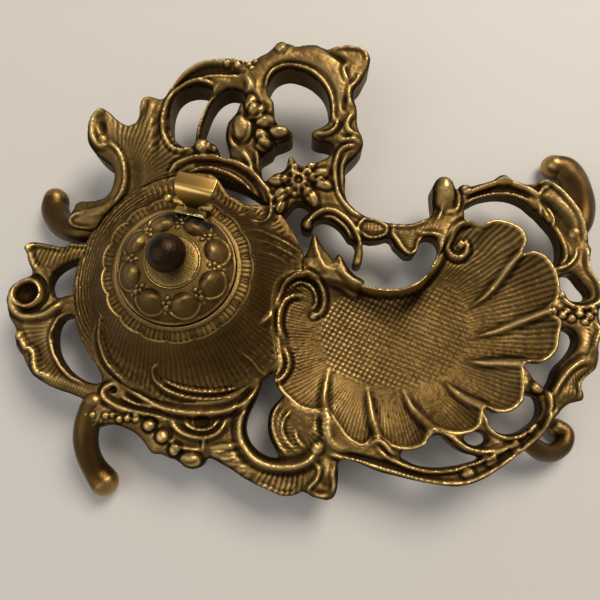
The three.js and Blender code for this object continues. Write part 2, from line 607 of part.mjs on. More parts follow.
// Openings in the plate, seen from above. Those beside the dish and the well run on under them.
const openingShares = {
  leftUpper: [
    [0.124, 0.531], [0.11, 0.528], [0.098, 0.524], [0.085, 0.517], [0.075, 0.508], [0.067, 0.498],
    [0.062, 0.486], [0.06, 0.47], [0.064, 0.455], [0.072, 0.446], [0.082, 0.443], [0.094, 0.447],
    [0.107, 0.449], [0.118, 0.453], [0.126, 0.47], [0.128, 0.5],
  ],
  leftLower: [
    [0.098, 0.403], [0.09, 0.4], [0.083, 0.39], [0.079, 0.375], [0.079, 0.355], [0.081, 0.338],
    [0.086, 0.321], [0.094, 0.305], [0.104, 0.29], [0.116, 0.278], [0.13, 0.268], [0.145, 0.262],
    [0.157, 0.26], [0.165, 0.264], [0.163, 0.277], [0.155, 0.295], [0.147, 0.315], [0.14, 0.335],
    [0.133, 0.355], [0.128, 0.375], [0.122, 0.392], [0.11, 0.401],
  ],
  archLeft: [
    [0.262, 0.835], [0.264, 0.86], [0.272, 0.885], [0.285, 0.9], [0.302, 0.907], [0.32, 0.906],
    [0.334, 0.9], [0.34, 0.89], [0.332, 0.875], [0.324, 0.855], [0.316, 0.83], [0.31, 0.81],
    [0.307, 0.79], [0.303, 0.778], [0.292, 0.774], [0.28, 0.779], [0.268, 0.797], [0.263, 0.815],
  ],
  archMiddle: [
    [0.316, 0.79], [0.318, 0.81], [0.324, 0.835], [0.332, 0.86], [0.342, 0.88], [0.353, 0.893],
    [0.366, 0.9], [0.38, 0.899], [0.392, 0.89], [0.395, 0.878], [0.386, 0.868], [0.38, 0.85],
    [0.37, 0.835], [0.362, 0.815], [0.36, 0.795], [0.363, 0.775], [0.368, 0.76], [0.366, 0.751],
    [0.351, 0.751], [0.349, 0.763], [0.342, 0.776], [0.33, 0.784],
  ],
  archRight: [
    [0.433, 0.9], [0.438, 0.919], [0.446, 0.934], [0.459, 0.944], [0.474, 0.947], [0.488, 0.943],
    [0.5, 0.937], [0.511, 0.929], [0.521, 0.918], [0.529, 0.907], [0.535, 0.894], [0.539, 0.88],
    [0.541, 0.863], [0.542, 0.845], [0.539, 0.828], [0.529, 0.817], [0.517, 0.811], [0.51, 0.803],
    [0.512, 0.794], [0.521, 0.788], [0.534, 0.785], [0.544, 0.78], [0.548, 0.77], [0.544, 0.759],
    [0.534, 0.75], [0.52, 0.743], [0.509, 0.738], [0.497, 0.732], [0.487, 0.736], [0.48, 0.745],
    [0.474, 0.752], [0.469, 0.744], [0.466, 0.731], [0.458, 0.723], [0.446, 0.715], [0.437, 0.706],
    [0.43, 0.702], [0.424, 0.709], [0.422, 0.725], [0.42, 0.74], [0.421, 0.752], [0.431, 0.76],
    [0.441, 0.768], [0.446, 0.779], [0.46, 0.786], [0.472, 0.793], [0.477, 0.802], [0.47, 0.812],
    [0.457, 0.82], [0.448, 0.828], [0.443, 0.842], [0.444, 0.857], [0.443, 0.871], [0.436, 0.884],
  ],
  behindLid: [
    [0.29, 0.708], [0.305, 0.714], [0.325, 0.715], [0.345, 0.71], [0.362, 0.702], [0.376, 0.69],
    [0.388, 0.676], [0.394, 0.663], [0.388, 0.656], [0.37, 0.655], [0.345, 0.66], [0.315, 0.665],
    [0.292, 0.675], [0.284, 0.692],
  ],
  hook: [
    [0.437, 0.612], [0.447, 0.624], [0.457, 0.625], [0.465, 0.633], [0.475, 0.648], [0.484, 0.658],
    [0.495, 0.657], [0.504, 0.649], [0.51, 0.64], [0.505, 0.632], [0.496, 0.624], [0.491, 0.612],
    [0.491, 0.6], [0.497, 0.592], [0.506, 0.59], [0.512, 0.597], [0.513, 0.607], [0.519, 0.616],
    [0.53, 0.62], [0.541, 0.617], [0.551, 0.61], [0.56, 0.6], [0.567, 0.588], [0.574, 0.575],
    [0.583, 0.568], [0.587, 0.555], [0.589, 0.54], [0.588, 0.5], [0.57, 0.47], [0.5, 0.46], [0.44, 0.5],
    [0.43, 0.56],
  ],
  garland: [
    [0.6, 0.572], [0.612, 0.57], [0.628, 0.572], [0.642, 0.576], [0.649, 0.57], [0.652, 0.56],
    [0.66, 0.548], [0.672, 0.533], [0.684, 0.533], [0.69, 0.545], [0.694, 0.56], [0.701, 0.57],
    [0.712, 0.573], [0.722, 0.567], [0.727, 0.555], [0.728, 0.54], [0.72, 0.48], [0.66, 0.45],
    [0.6, 0.45], [0.575, 0.46], [0.575, 0.5], [0.588, 0.522], [0.594, 0.53], [0.597, 0.545],
  ],
  rightArch: [
    [0.775, 0.64], [0.787, 0.651], [0.802, 0.661], [0.82, 0.667], [0.84, 0.669], [0.858, 0.666],
    [0.872, 0.659], [0.884, 0.649], [0.893, 0.637], [0.903, 0.625], [0.912, 0.61], [0.92, 0.597],
    [0.927, 0.583], [0.932, 0.565], [0.933, 0.545], [0.93, 0.525], [0.924, 0.51], [0.915, 0.502],
    [0.9, 0.5], [0.86, 0.5], [0.82, 0.56], [0.79, 0.58], [0.775, 0.61],
  ],
  rightC: [
    [0.92, 0.475], [0.93, 0.485], [0.94, 0.491], [0.95, 0.49], [0.957, 0.481], [0.963, 0.468],
    [0.97, 0.456], [0.974, 0.445], [0.967, 0.434], [0.953, 0.429], [0.94, 0.432], [0.932, 0.443],
    [0.925, 0.452], [0.912, 0.45], [0.91, 0.465],
  ],
  rightLower: [
    [0.912, 0.36], [0.921, 0.37], [0.931, 0.372], [0.941, 0.364], [0.944, 0.351], [0.941, 0.338],
    [0.934, 0.324], [0.924, 0.31], [0.912, 0.297], [0.904, 0.284], [0.899, 0.269], [0.892, 0.255],
    [0.885, 0.246], [0.877, 0.25], [0.869, 0.262], [0.86, 0.28], [0.85, 0.3], [0.86, 0.33], [0.89, 0.345],
  ],
  frontRight: [
    [0.783, 0.215], [0.785, 0.195], [0.788, 0.177], [0.796, 0.165], [0.81, 0.158], [0.825, 0.158],
    [0.84, 0.163], [0.851, 0.171], [0.861, 0.18], [0.869, 0.191], [0.873, 0.206], [0.873, 0.221],
    [0.869, 0.232], [0.859, 0.236], [0.85, 0.24], [0.82, 0.25],
  ],
  frontOval: [
    [0.747, 0.152], [0.755, 0.16], [0.768, 0.163], [0.78, 0.16], [0.786, 0.151], [0.784, 0.142],
    [0.774, 0.136], [0.762, 0.136], [0.752, 0.141],
  ],
  frontCrescent: [
    [0.65, 0.122], [0.66, 0.131], [0.672, 0.135], [0.685, 0.14], [0.695, 0.15], [0.705, 0.156],
    [0.715, 0.155], [0.722, 0.147], [0.73, 0.137], [0.74, 0.127], [0.752, 0.12], [0.765, 0.116],
    [0.774, 0.111], [0.765, 0.105], [0.75, 0.1], [0.735, 0.096], [0.715, 0.093], [0.695, 0.093],
    [0.675, 0.097], [0.66, 0.105], [0.65, 0.113],
  ],
  frontC: [
    [0.42, 0.238], [0.412, 0.215], [0.404, 0.19], [0.402, 0.168], [0.407, 0.147], [0.417, 0.13],
    [0.43, 0.118], [0.447, 0.111], [0.455, 0.113], [0.449, 0.13], [0.442, 0.147], [0.438, 0.165],
    [0.438, 0.185], [0.441, 0.203], [0.449, 0.218], [0.458, 0.23], [0.464, 0.24], [0.464, 0.262],
    [0.458, 0.28], [0.43, 0.28], [0.426, 0.262],
  ],
};

function prism(outlineShares) {
  const outline = outlineShares.map(([u, v]) => new THREE.Vector2(u * trayLength, v * trayDepth));
  const shape = new THREE.Shape(outline);
  return solid(new THREE.ExtrudeGeometry(shape, { depth: capLevel, bevelEnabled: false }));
}

// A slab that follows the casting's level, thicker in the gallery; the plate is cut from it.
function levelSlab() {
  const columnShares = [-0.1, 0.625, 0.65, 0.677, 0.705, 0.73, 1.1];
  const rowShares = [1.1, 0.99, 0.92, 0.84, 0.76, 0.68, 0.6, 0.526, -0.1];
  const rings = columnShares.map((u) => {
    const top = rowShares.map((v) => {
      return new THREE.Vector3(u * trayLength, v * trayDepth, trayLevel(u, v) - plateDrop);
    });
    const bottom = rowShares.map((v, i) => {
      const thickness = THREE.MathUtils.lerp(borderThickness, galleryThickness, galleryShare(u, v));
      return top[i].clone().setZ(top[i].z - thickness);
    });
    return [...top, ...bottom.reverse()];
  });
  return solid(loft(rings));
}

// A block that takes everything to the left of the line from one place to another, and half a gap more.
function beyond(from, to) {
  const size = 4 * trayLength;
  const geometry = new THREE.BoxGeometry(size, size, size);
  geometry.translate(0, (size - fitGap) / 2, 0);
  geometry.rotateZ(Math.atan2((to[1] - from[1]) * trayDepth, (to[0] - from[0]) * trayLength));
  geometry.translate(from[0] * trayLength, from[1] * trayDepth, 0);
  return solid(geometry);
}

// Places of the seams between the borders: from one place to another, in shares.
const seamShares = {
  galleryRight: [[0.716, 0], [0.716, 1]],
  rightFront: [[0.865, 0.25], [0.93, 0.19]],
  leftFront: [[0.13, 0.2173], [0.2, 0.262]],
  leftBack: [[0, 0.5725], [1, 0.5725]],
  leftSide: [[0.3, 0], [0.3, 1]],
  galleryFront: [[0, 0.45], [1, 0.45]],
  frontBack: [[0, 0.275], [1, 0.275]],
  frontSide: [[0.6, 0], [0.6, 1]],
};
const leftOf = (name) => beyond(seamShares[name][0], seamShares[name][1]);
const rightOf = (name) => beyond(seamShares[name][1], seamShares[name][0]);

// Scrolls and knobs joined on the plate, trimmed to its outline, with the other borders' ground cut away.
function border(reliefs, cutters) {
  return cutAway(join([slab, ...reliefs]).intersect(pierced), cutters);
}

// A knob with its middle a little over the plate.
function seatedKnob([u, v, radiusShare, flatness], segments = 10) {
  return knob(u, v, radiusShare * trayLength, trayLevel(u, v) + knobLift - plateDrop, flatness, segments);
}

const leftScrollShares = [
  [[0.05, 0.462, 0.009], [0.041, 0.487, 0.01], [0.019, 0.488, 0.011], [0.004, 0.463, 0.012],
   [0.008, 0.43, 0.013],
   [0.026, 0.412, 0.014], [0.052, 0.416, 0.015], [0.078, 0.428, 0.016], [0.105, 0.43, 0.017],
   [0.14, 0.43, 0.018]],
  [[0.04, 0.415, 0.024], [0.044, 0.385, 0.029], [0.046, 0.352, 0.03], [0.058, 0.315, 0.027],
   [0.08, 0.285, 0.021],
   [0.105, 0.266, 0.017], [0.135, 0.25, 0.014], [0.165, 0.244, 0.016], [0.2, 0.25, 0.016]],
  [[0.027, 0.55, 0.009], [0.05, 0.535, 0.021], [0.075, 0.536, 0.019], [0.1, 0.546, 0.016],
   [0.15, 0.54, 0.018]],
  [[0.048, 0.53, 0.012], [0.046, 0.505, 0.013], [0.05, 0.48, 0.013]],
];

function leftScrolls(cutters) {
  const others = [rightOf("leftFront"), rightOf("leftSide"), leftOf("leftBack")];
  return border(leftScrollShares.map((rows) => scroll(rows)), [...others, ...cutters]);
}

const galleryScrollShares = {
  earAndC: [[0.142, 0.838, 0.015], [0.138, 0.8, 0.019], [0.155, 0.765, 0.018], [0.172, 0.735, 0.015],
    [0.179, 0.7, 0.015], [0.172, 0.665, 0.018], [0.15, 0.637, 0.02], [0.12, 0.633, 0.018],
    [0.104, 0.635, 0.013]],
  leftArch: [[0.252, 0.75, 0.012], [0.247, 0.8, 0.011], [0.248, 0.85, 0.011], [0.262, 0.893, 0.012],
    [0.285, 0.925, 0.014], [0.315, 0.943, 0.016], [0.35, 0.948, 0.018], [0.385, 0.945, 0.019],
    [0.415, 0.955, 0.02]],
  bar: [[0.36, 0.93, 0.012], [0.34, 0.895, 0.009], [0.324, 0.855, 0.008], [0.314, 0.81, 0.009],
    [0.32, 0.775, 0.016]],
  rightArch: [[0.4, 0.935, 0.022], [0.43, 0.957, 0.022], [0.465, 0.98, 0.024], [0.51, 0.977, 0.023],
    [0.548, 0.957, 0.026], [0.567, 0.91, 0.018], [0.563, 0.87, 0.02], [0.565, 0.83, 0.02],
    [0.572, 0.79, 0.021],
    [0.56, 0.755, 0.015], [0.553, 0.72, 0.014], [0.558, 0.68, 0.012], [0.575, 0.648, 0.013],
    [0.6, 0.618, 0.017]],
  cornerLeaf: [[0.545, 0.955, 0.024], [0.575, 0.97, 0.02], [0.597, 0.985, 0.01]],
  topLeaf: [[0.45, 0.965, 0.02], [0.458, 0.995, 0.012]],
  curl: [[0.572, 0.82, 0.018], [0.545, 0.806, 0.014], [0.525, 0.792, 0.009]],
  budStem: [[0.41, 0.95, 0.018], [0.412, 0.89, 0.018], [0.405, 0.835, 0.032], [0.41, 0.79, 0.028],
    [0.402, 0.755, 0.016], [0.406, 0.72, 0.014], [0.42, 0.69, 0.014]],
  budLeaf: [[0.42, 0.82, 0.016], [0.45, 0.806, 0.013], [0.472, 0.8, 0.007]],
  backC: [[0.262, 0.7, 0.012], [0.285, 0.722, 0.013], [0.32, 0.736, 0.014], [0.36, 0.732, 0.015],
    [0.398, 0.711, 0.016], [0.42, 0.68, 0.015], [0.427, 0.645, 0.013], [0.413, 0.615, 0.01]],
  roseLink: [[0.43, 0.69, 0.014], [0.485, 0.695, 0.03], [0.53, 0.703, 0.014], [0.56, 0.7, 0.012]],
  roseUp: [[0.485, 0.7, 0.018], [0.477, 0.73, 0.012], [0.473, 0.746, 0.006]],
  roseDown: [[0.485, 0.7, 0.018], [0.455, 0.65, 0.012], [0.446, 0.635, 0.007]],
  roseAside: [[0.49, 0.69, 0.018], [0.504, 0.662, 0.011], [0.509, 0.651, 0.006]],
  garland: [[0.585, 0.635, 0.014], [0.612, 0.602, 0.019], [0.64, 0.597, 0.014], [0.67, 0.596, 0.014],
    [0.7, 0.598, 0.014], [0.73, 0.605, 0.017]],
  garlandLeaf: [[0.668, 0.6, 0.016], [0.671, 0.565, 0.019], [0.676, 0.53, 0.01]],
  hookRoot: [[0.558, 0.645, 0.012], [0.565, 0.612, 0.01]],
  hook: [[0.502, 0.614, 0.008], [0.515, 0.627, 0.007], [0.532, 0.63, 0.008], [0.55, 0.622, 0.009],
    [0.565, 0.605, 0.011], [0.58, 0.583, 0.012], [0.588, 0.558, 0.011], [0.592, 0.533, 0.008]],
};

// Place, radius as a share of the length, and flatness.
const galleryKnobShares = [
  [0.485, 0.7, 0.021, 0.6],
  [0.39, 0.822, 0.0225, 0.8],
  [0.323, 0.775, 0.0167, 0.8],
];

function backGallery(cutters) {
  const scrolls = Object.values(galleryScrollShares).map((rows) => scroll(rows));
  const knobs = galleryKnobShares.map((row) => seatedKnob(row));
  const leftGround = rightOf("leftBack").subtract(rightOf("leftSide"));
  const others = [rightOf("galleryRight"), rightOf("galleryFront"), leftGround];
  return border([...scrolls, ...knobs], [...others, ...cutters]);
}

const rightScrollShares = {
  outerArch: [[0.755, 0.655, 0.018], [0.785, 0.677, 0.013], [0.82, 0.69, 0.014], [0.85, 0.693, 0.015],
    [0.882, 0.675, 0.019], [0.905, 0.648, 0.027], [0.93, 0.61, 0.032], [0.948, 0.565, 0.026],
    [0.956, 0.53, 0.023],
    [0.965, 0.495, 0.02], [0.977, 0.465, 0.016], [0.978, 0.43, 0.015], [0.968, 0.395, 0.02],
    [0.966, 0.36, 0.02],
    [0.962, 0.325, 0.018], [0.942, 0.292, 0.017], [0.916, 0.256, 0.017], [0.9, 0.22, 0.017]],
  innerC: [[0.928, 0.448, 0.007], [0.938, 0.431, 0.009], [0.955, 0.422, 0.01], [0.972, 0.43, 0.012]],
  wing: [[0.91, 0.252, 0.013], [0.928, 0.24, 0.013], [0.938, 0.232, 0.009]],
  volute: [[0.72, 0.605, 0.014], [0.738, 0.622, 0.016], [0.752, 0.645, 0.016], [0.765, 0.66, 0.013]],
};

const rightKnobShares = [[0.737, 0.672, 0.0192, 1.1]];

function rightScrolls(cutters) {
  const scrolls = Object.values(rightScrollShares).map((rows) => scroll(rows));
  const knobs = rightKnobShares.map((row) => seatedKnob(row));
  const others = [leftOf("galleryRight"), rightOf("rightFront")];
  return border([...scrolls, ...knobs], [...others, ...cutters]);
}

const frontScrollShares = {
  beadedBand: [[0.135, 0.222, 0.015], [0.155, 0.207, 0.018], [0.185, 0.2, 0.017], [0.215, 0.19, 0.016],
    [0.245, 0.17, 0.017], [0.272, 0.148, 0.018], [0.3, 0.125, 0.018], [0.322, 0.113, 0.015]],
  hookScroll: [[0.183, 0.253, 0.006], [0.171, 0.243, 0.008], [0.178, 0.224, 0.009], [0.205, 0.21, 0.01],
    [0.245, 0.197, 0.01], [0.28, 0.186, 0.009]],
  medallionRing: [[0.29, 0.19, 0.006], [0.3, 0.166, 0.007], [0.325, 0.154, 0.007], [0.35, 0.165, 0.006]],
  smallLeaves: [[0.345, 0.13, 0.013], [0.375, 0.122, 0.017], [0.4, 0.108, 0.017], [0.415, 0.09, 0.014]],
  bigC: [[0.41, 0.228, 0.008], [0.397, 0.2, 0.009], [0.393, 0.17, 0.01], [0.4, 0.14, 0.011],
    [0.42, 0.115, 0.012],
    [0.45, 0.099, 0.012], [0.48, 0.096, 0.012], [0.502, 0.108, 0.012], [0.516, 0.128, 0.011]],
  innerShell: [[0.452, 0.19, 0.012], [0.474, 0.158, 0.025], [0.51, 0.165, 0.028], [0.545, 0.17, 0.018]],
  frontLeaf: [[0.42, 0.088, 0.013], [0.448, 0.07, 0.019], [0.48, 0.07, 0.021], [0.512, 0.068, 0.022],
    [0.532, 0.064, 0.018], [0.538, 0.045, 0.009]],
  shellBorder: [[0.52, 0.13, 0.016], [0.555, 0.124, 0.014], [0.585, 0.12, 0.013], [0.612, 0.11, 0.013],
    [0.642, 0.099, 0.012], [0.68, 0.083, 0.011], [0.72, 0.076, 0.011], [0.76, 0.085, 0.012],
    [0.8, 0.105, 0.013],
    [0.836, 0.135, 0.014], [0.866, 0.17, 0.015], [0.886, 0.205, 0.016], [0.905, 0.24, 0.016]],
  waveStrut: [[0.7, 0.168, 0.009], [0.72, 0.151, 0.01], [0.746, 0.131, 0.011], [0.775, 0.121, 0.011],
    [0.802, 0.122, 0.011]],
  cStrut: [[0.783, 0.207, 0.008], [0.785, 0.177, 0.009], [0.801, 0.154, 0.009], [0.827, 0.151, 0.01],
    [0.855, 0.166, 0.011]],
};

const frontBeadShares = [[0.25, 0.172, 0.011, 0.8], [0.27, 0.152, 0.011, 0.8], [0.291, 0.126, 0.011, 0.8],
  [0.316, 0.11, 0.012, 0.8]];

function frontScrolls(cutters) {
  const scrolls = Object.values(frontScrollShares).map((rows) => scroll(rows));
  const beads = frontBeadShares.map((row) => seatedKnob(row, 8));
  const rightGround = leftOf("rightFront").subtract(leftOf("frontSide"));
  const others = [leftOf("leftFront"), leftOf("frontBack"), rightGround];
  return border([...scrolls, ...beads], [...others, ...cutters]);
}

// Feet, from the root under the border to the pad: share of length, share of depth,
// share of the drop from the root's level to the pad's, share of the foot's radius.
const footPathShares = {
  foot_front_left: [[0.156, 0.222, 1, 1.05], [0.14, 0.18, 0.93, 1], [0.136, 0.146, 0.76, 0.95],
    [0.141, 0.11, 0.48, 0.92], [0.152, 0.081, 0.2, 0.95], [0.166, 0.056, 0, 1]],
  foot_back_left: [[0.15, 0.618, 1, 1.1], [0.112, 0.603, 0.8, 1.1], [0.078, 0.611, 0.52, 1.1],
    [0.048, 0.638, 0.28, 1.1], [0.033, 0.675, 0.08, 1.1], [0.031, 0.704, 0, 1.05]],
  foot_back_right: [[0.968, 0.585, 1, 0.9], [0.99, 0.63, 0.85, 0.95], [1, 0.662, 0.68, 1],
    [1.005, 0.702, 0.44, 1], [1.005, 0.748, 0.2, 1], [0.992, 0.782, 0.04, 1], [0.968, 0.785, 0, 1]],
  foot_front_right: [[0.845, 0.15, 1, 0.95], [0.867, 0.133, 0.85, 1], [0.887, 0.122, 0.62, 1.05],
    [0.911, 0.12, 0.36, 1.05], [0.937, 0.137, 0.1, 1], [0.945, 0.163, 0, 1], [0.932, 0.176, 0, 0.95]],
};

function foot(name, grow = 0) {
  const rows = footPathShares[name];
  const radius = name === "foot_front_right" ? curlRadius : footRadius;
  const padLevel = radius - padCut;
  const rootRadius = rows[0][3] * radius;
  const rootLevel = trayLevel(rows[0][0], rows[0][1]) - plateDrop - rootCover - rootRadius;
  const points = rows.map(([u, v, up]) =>
    new THREE.Vector3(u * trayLength, v * trayDepth, THREE.MathUtils.lerp(padLevel, rootLevel, up)),
  );
  const radii = rows.map(([, , , share]) => share * radius);
  return bar(points, radii, footFaces, grow);
}

function footOnDesk(name) {
  const desk = box(-trayLength, 2 * trayLength, -trayDepth, 2 * trayDepth, -overrun - borderLevel, 0);
  return foot(name).subtract(desk).subtract(housingEnvelope());
}

function collar() {
  const seat = housingTopLevel + fitGap;
  const spigotRadius = housingBore - fitGap;
  const ledgeRadius = collarBore - collarLedge;
  const ledgeTop = collarTop - collarLedgeDrop;
  const edgeLevels = collarEdgeShares.map((share) => seat + share * collarThickness);
  const profile = [
    [spigotRadius, seat], [spigotRadius + spigotLength, seat],
    [collarRadius - spigotLength / 2, edgeLevels[0]], [collarRadius, edgeLevels[1]],
    [collarRadius, edgeLevels[2]], [collarRadius - spigotLength, edgeLevels[3]],
    [collarBore + spigotLength, collarTop],
    [collarBore, collarTop], [collarBore, ledgeTop], [ledgeRadius, ledgeTop],
    [ledgeRadius, seat - spigotLength], [spigotRadius, seat - spigotLength],
  ];
  const scallop = (radius, angle) => {
    const swell = Math.abs(Math.cos((collarLobes * angle) / 2)) * lobeHeight;
    return radius > spigotRadius + spigotLength ? radius + swell : radius;
  };
  return turned(profile, collarLobes * lobeFaces, scallop);
}

function glassInsert() {
  const flangeRadius = collarBore - 2 * fitGap;
  const flangeLevel = collarTop - collarLedgeDrop + fitGap;
  const outer = collarBore - collarLedge - 2 * fitGap;
  const bottom = flangeLevel - insertDepth;
  const inner = outer - insertWall;
  const profile = [
    [0, bottom], [outer - insertWall, bottom], [outer, bottom + insertWall], [outer, flangeLevel],
    [flangeRadius, flangeLevel], [flangeRadius, flangeLevel + insertFlange],
    [inner, flangeLevel + insertFlange],
    [inner, bottom + insertFloor + insertWall], [inner - insertWall, bottom + insertFloor],
    [0, bottom + insertFloor],
  ];
  const points = profile.map(([x, y]) => new THREE.Vector2(x, y));
  return new THREE.LatheGeometry(points, smallFaces).rotateX(Math.PI / 2);
}

// Outside of the lid from its rim to its crown: share of the way inward, share of the rise.
const lidOutlineShares = [[0, 0.27], [0.1, 0.37], [0.3, 0.66], [0.58, 0.88], [0.84, 0.975], [1, 1]];

// The lid without its hollow, over its rim's level; a larger one cuts what must clear it.
function lidBody(grow = 0) {
  const span = lidRadius - lidCrownRadius;
  const outline = [[lidRadius + grow, -grow], ...lidOutlineShares.map(([inward, up]) => [
    lidRadius - span * inward + grow * (1 - inward / 2),
    lidRise * up + grow,
  ])];
  const profile = [[0, -grow], ...outline, [0, lidRise + grow]];
  const points = profile.map(([x, y]) => new THREE.Vector2(x, y));
  const cap = solid(new THREE.LatheGeometry(points, lidFaces).rotateX(Math.PI / 2));
  const bosses = Array.from({ length: lidBosses }, (_, i) => {
    const geometry = new THREE.SphereGeometry(1, 8, 6);
    geometry.scale(bossLength + grow, bossWidth + grow, bossHeight + grow);
    geometry.rotateY(THREE.MathUtils.degToRad(bossLean));
    geometry.translate((lidRadius + lidCrownRadius) / 2, 0, lidRise * bossLevelShare);
    geometry.rotateZ(THREE.MathUtils.degToRad(bossTurn) + (2 * Math.PI * i) / lidBosses);
    return solid(geometry);
  });
  return join([cap, ...bosses]);
}

function lidShell() {
  const span = lidRadius - lidCrownRadius;
  const inside = lidOutlineShares.map(([inward, up]) => {
    return [lidRadius - span * inward - lidWall * sideWallShare, lidRise * up - lidWall];
  });
  const rim = [lidRadius - lidWall, -overrun];
  const profile = [[0, -overrun], rim, ...inside.slice(1), [0, lidRise - lidWall]];
  const points = profile.map(([x, y]) => new THREE.Vector2(x, y));
  const room = solid(new THREE.LatheGeometry(points, lidFaces).rotateX(Math.PI / 2));
  const hole = cylinder(studRadius + fitGap, -overrun, lidRise + overrun);
  return geometryOf(cutAway(lidBody(), [room, hole]).translate([0, 0, lidRimLevel]));
}

function finialSeat() {
  const hole = studRadius + fitGap;
  const profile = [
    [hole, 0], [seatRadius - seatThickness, 0], [seatRadius, seatThickness / 2],
    [seatRadius, seatThickness + seatLip],
    [seatRadius - seatThickness, seatThickness + seatLip], [seatRadius - 2.4 * seatThickness, seatThickness],
    [hole, seatThickness], [hole, 0],
  ];
  const points = profile.map(([x, y]) => new THREE.Vector2(x, y));
  return new THREE.LatheGeometry(points, smallFaces).rotateX(Math.PI / 2).translate(0, 0, seatLevel);
}

// Outline of the finial: share of its radius, share of its height.
const finialOutlineShares = [
  [0.66, 0], [0.66, 0.05], [0.48, 0.12], [0.5, 0.2], [0.86, 0.32], [1, 0.45], [0.97, 0.6], [0.8, 0.77],
  [0.5, 0.92], [0.2, 0.99], [0, 1],
];

function finial() {
  const bore = studRadius + fitGap;
  const outside = finialOutlineShares.map(([out, up]) => [
    up === 0 ? finialFootRadius : finialRadius * out,
    finialHeight * up,
  ]);
  const profile = [[0, studDepth + fitGap], [bore, studDepth + fitGap], [bore, 0], ...outside];
  const points = profile.map(([x, y]) => new THREE.Vector2(x, y));
  return new THREE.LatheGeometry(points, smallFaces).rotateX(Math.PI / 2).translate(0, 0, finialLevel);
}

function finialStud() {
  const low = lidCrownLevel - lidWall - nutHeight - 2 * fitGap;
  const high = finialLevel + studDepth;
  return geometryOf(cylinder(studRadius, low, high, 20));
}

function finialNut() {
  const high = lidCrownLevel - lidWall - fitGap;
  const hexagon = cylinder(nutRadius, high - nutHeight, high, 6);
  const bore = cylinder(studRadius + fitGap, high - nutHeight - overrun, high + overrun, 20);
  return geometryOf(hexagon.subtract(bore));
}

function alongPin(radius, low, high, segments = 24) {
  const geometry = new THREE.CylinderGeometry(radius, radius, high - low, segments);
  geometry.rotateZ(Math.PI / 2);
  geometry.translate((low + high) / 2, 0, 0);
  return solid(geometry);
}

// Moves a body from the hinge's frame, its pin along X, to its place beside the well's axis.
function besideWell(body) {
  const turn = THREE.MathUtils.degToRad(hingeTurn);
  const place = [hingeOffset * Math.sin(turn), hingeOffset * Math.cos(turn), hingeLevel];
  return geometryOf(body.rotate([0, 0, -hingeTurn]).translate(place));
}

function lidHingeLeaf() {
  const half = knuckleWidth / 2;
  const fromHinge = [0, -hingeOffset, lidRimLevel - hingeLevel];
  const lidSurface = (grow) => lidBody(grow).rotate([0, 0, hingeTurn]).translate(fromHinge);
  const edge = lidRadius - hingeOffset;
  const side = leafWidth / 2;
  const reach = box(-side, side, edge - leafDepth, edge + fitGap, -hingeLift / 2, hingeLift);
  const plate = lidSurface(fitGap + leafThickness).intersect(reach);
  const web = box(-half, half, edge - fitGap, 0, -knuckleRadius / 2, knuckleRadius / 4);
  const hole = alongPin(pinRadius + fitGap, -half - overrun, half + overrun);
  const leaf = join([alongPin(knuckleRadius, -half, half), plate, web]);
  return besideWell(cutAway(leaf, [lidSurface(fitGap), hole]));
}

function collarHingeLeaf() {
  const inner = knuckleWidth / 2 + fitGap;
  const outer = inner + earWidth;
  const foot = collarTop + fitGap - hingeLevel;
  const back = knuckleRadius;
  const front = -earFrontShare * back;
  const ear = (low, high) => alongPin(knuckleRadius, low, high).add(box(low, high, front, back, foot, 0));
  const strip = box(-outer, outer, front, back, foot, foot + stripShare * leafThickness);
  const hole = alongPin(pinRadius + fitGap, -outer - overrun, outer + overrun);
  return besideWell(join([ear(-outer, -inner), ear(inner, outer), strip]).subtract(hole));
}

function hingePin() {
  const ball = new THREE.SphereGeometry(pinBall, 16, 10).rotateZ(Math.PI / 2).translate(-pinReach, 0, 0);
  const farEnd = knuckleWidth / 2 + earWidth + 2 * fitGap;
  return besideWell(alongPin(pinRadius, -pinReach, farEnd, 20).add(solid(ball)));
}

// Sections of the tab up to its fold: share of the leg, width, share of the lean.
const tabLegShares = [[0.8, tabWidth, 1], [0.96, tabWidth, 0.7]];

// Sections beyond the fold: share of the top's reach, share of its droop, width, share of the lean.
const tabTopShares = [[0.1, 0.02, tabWidth, 0.2], [0.3, 0.3, tabTopWidth, 0]];

function thumbTab() {
  const lean = Math.atan2(tabLegUp, tabLegOut);
  const clear = knuckleRadius + fitGap + tabThickness / 2;
  const back = [tabTailShare * tabLegOut, tabTailShare * tabLegUp];
  const base = [-clear * Math.sin(lean) - back[0], clear * Math.cos(lean) - back[1]];
  const fold = [base[0] + tabLegOut, base[1] + tabLegUp];
  const tip = [fold[0] + tabTopOut, fold[1] - tabTopDroop];
  const across = ([out, up], width, facing) => {
    const half = tabThickness / 2;
    const [normalOut, normalUp] = [-Math.sin(facing) * half, Math.cos(facing) * half];
    return [[-1, -1], [-1, 1], [1, 1], [1, -1]].map(
      ([side, face]) => new THREE.Vector3((side * width) / 2, out + face * normalOut, up + face * normalUp),
    );
  };
  const alongLeg = (share) => [base[0] + share * tabLegOut, base[1] + share * tabLegUp];
  const alongTop = (out, down) => [fold[0] + out * tabTopOut, fold[1] - down * tabTopDroop];
  const leg = tabLegShares.map(([along, width, turn]) => across(alongLeg(along), width, turn * lean));
  const top = tabTopShares.map(([out, down, width, turn]) => across(alongTop(out, down), width, turn * lean));
  const [foot, end] = [across(base, tabBaseWidth, lean), across(tip, tabTopWidth, 0)];
  return besideWell(solid(loft([foot, ...leg, ...top, end])));
}

const group = new THREE.Group();

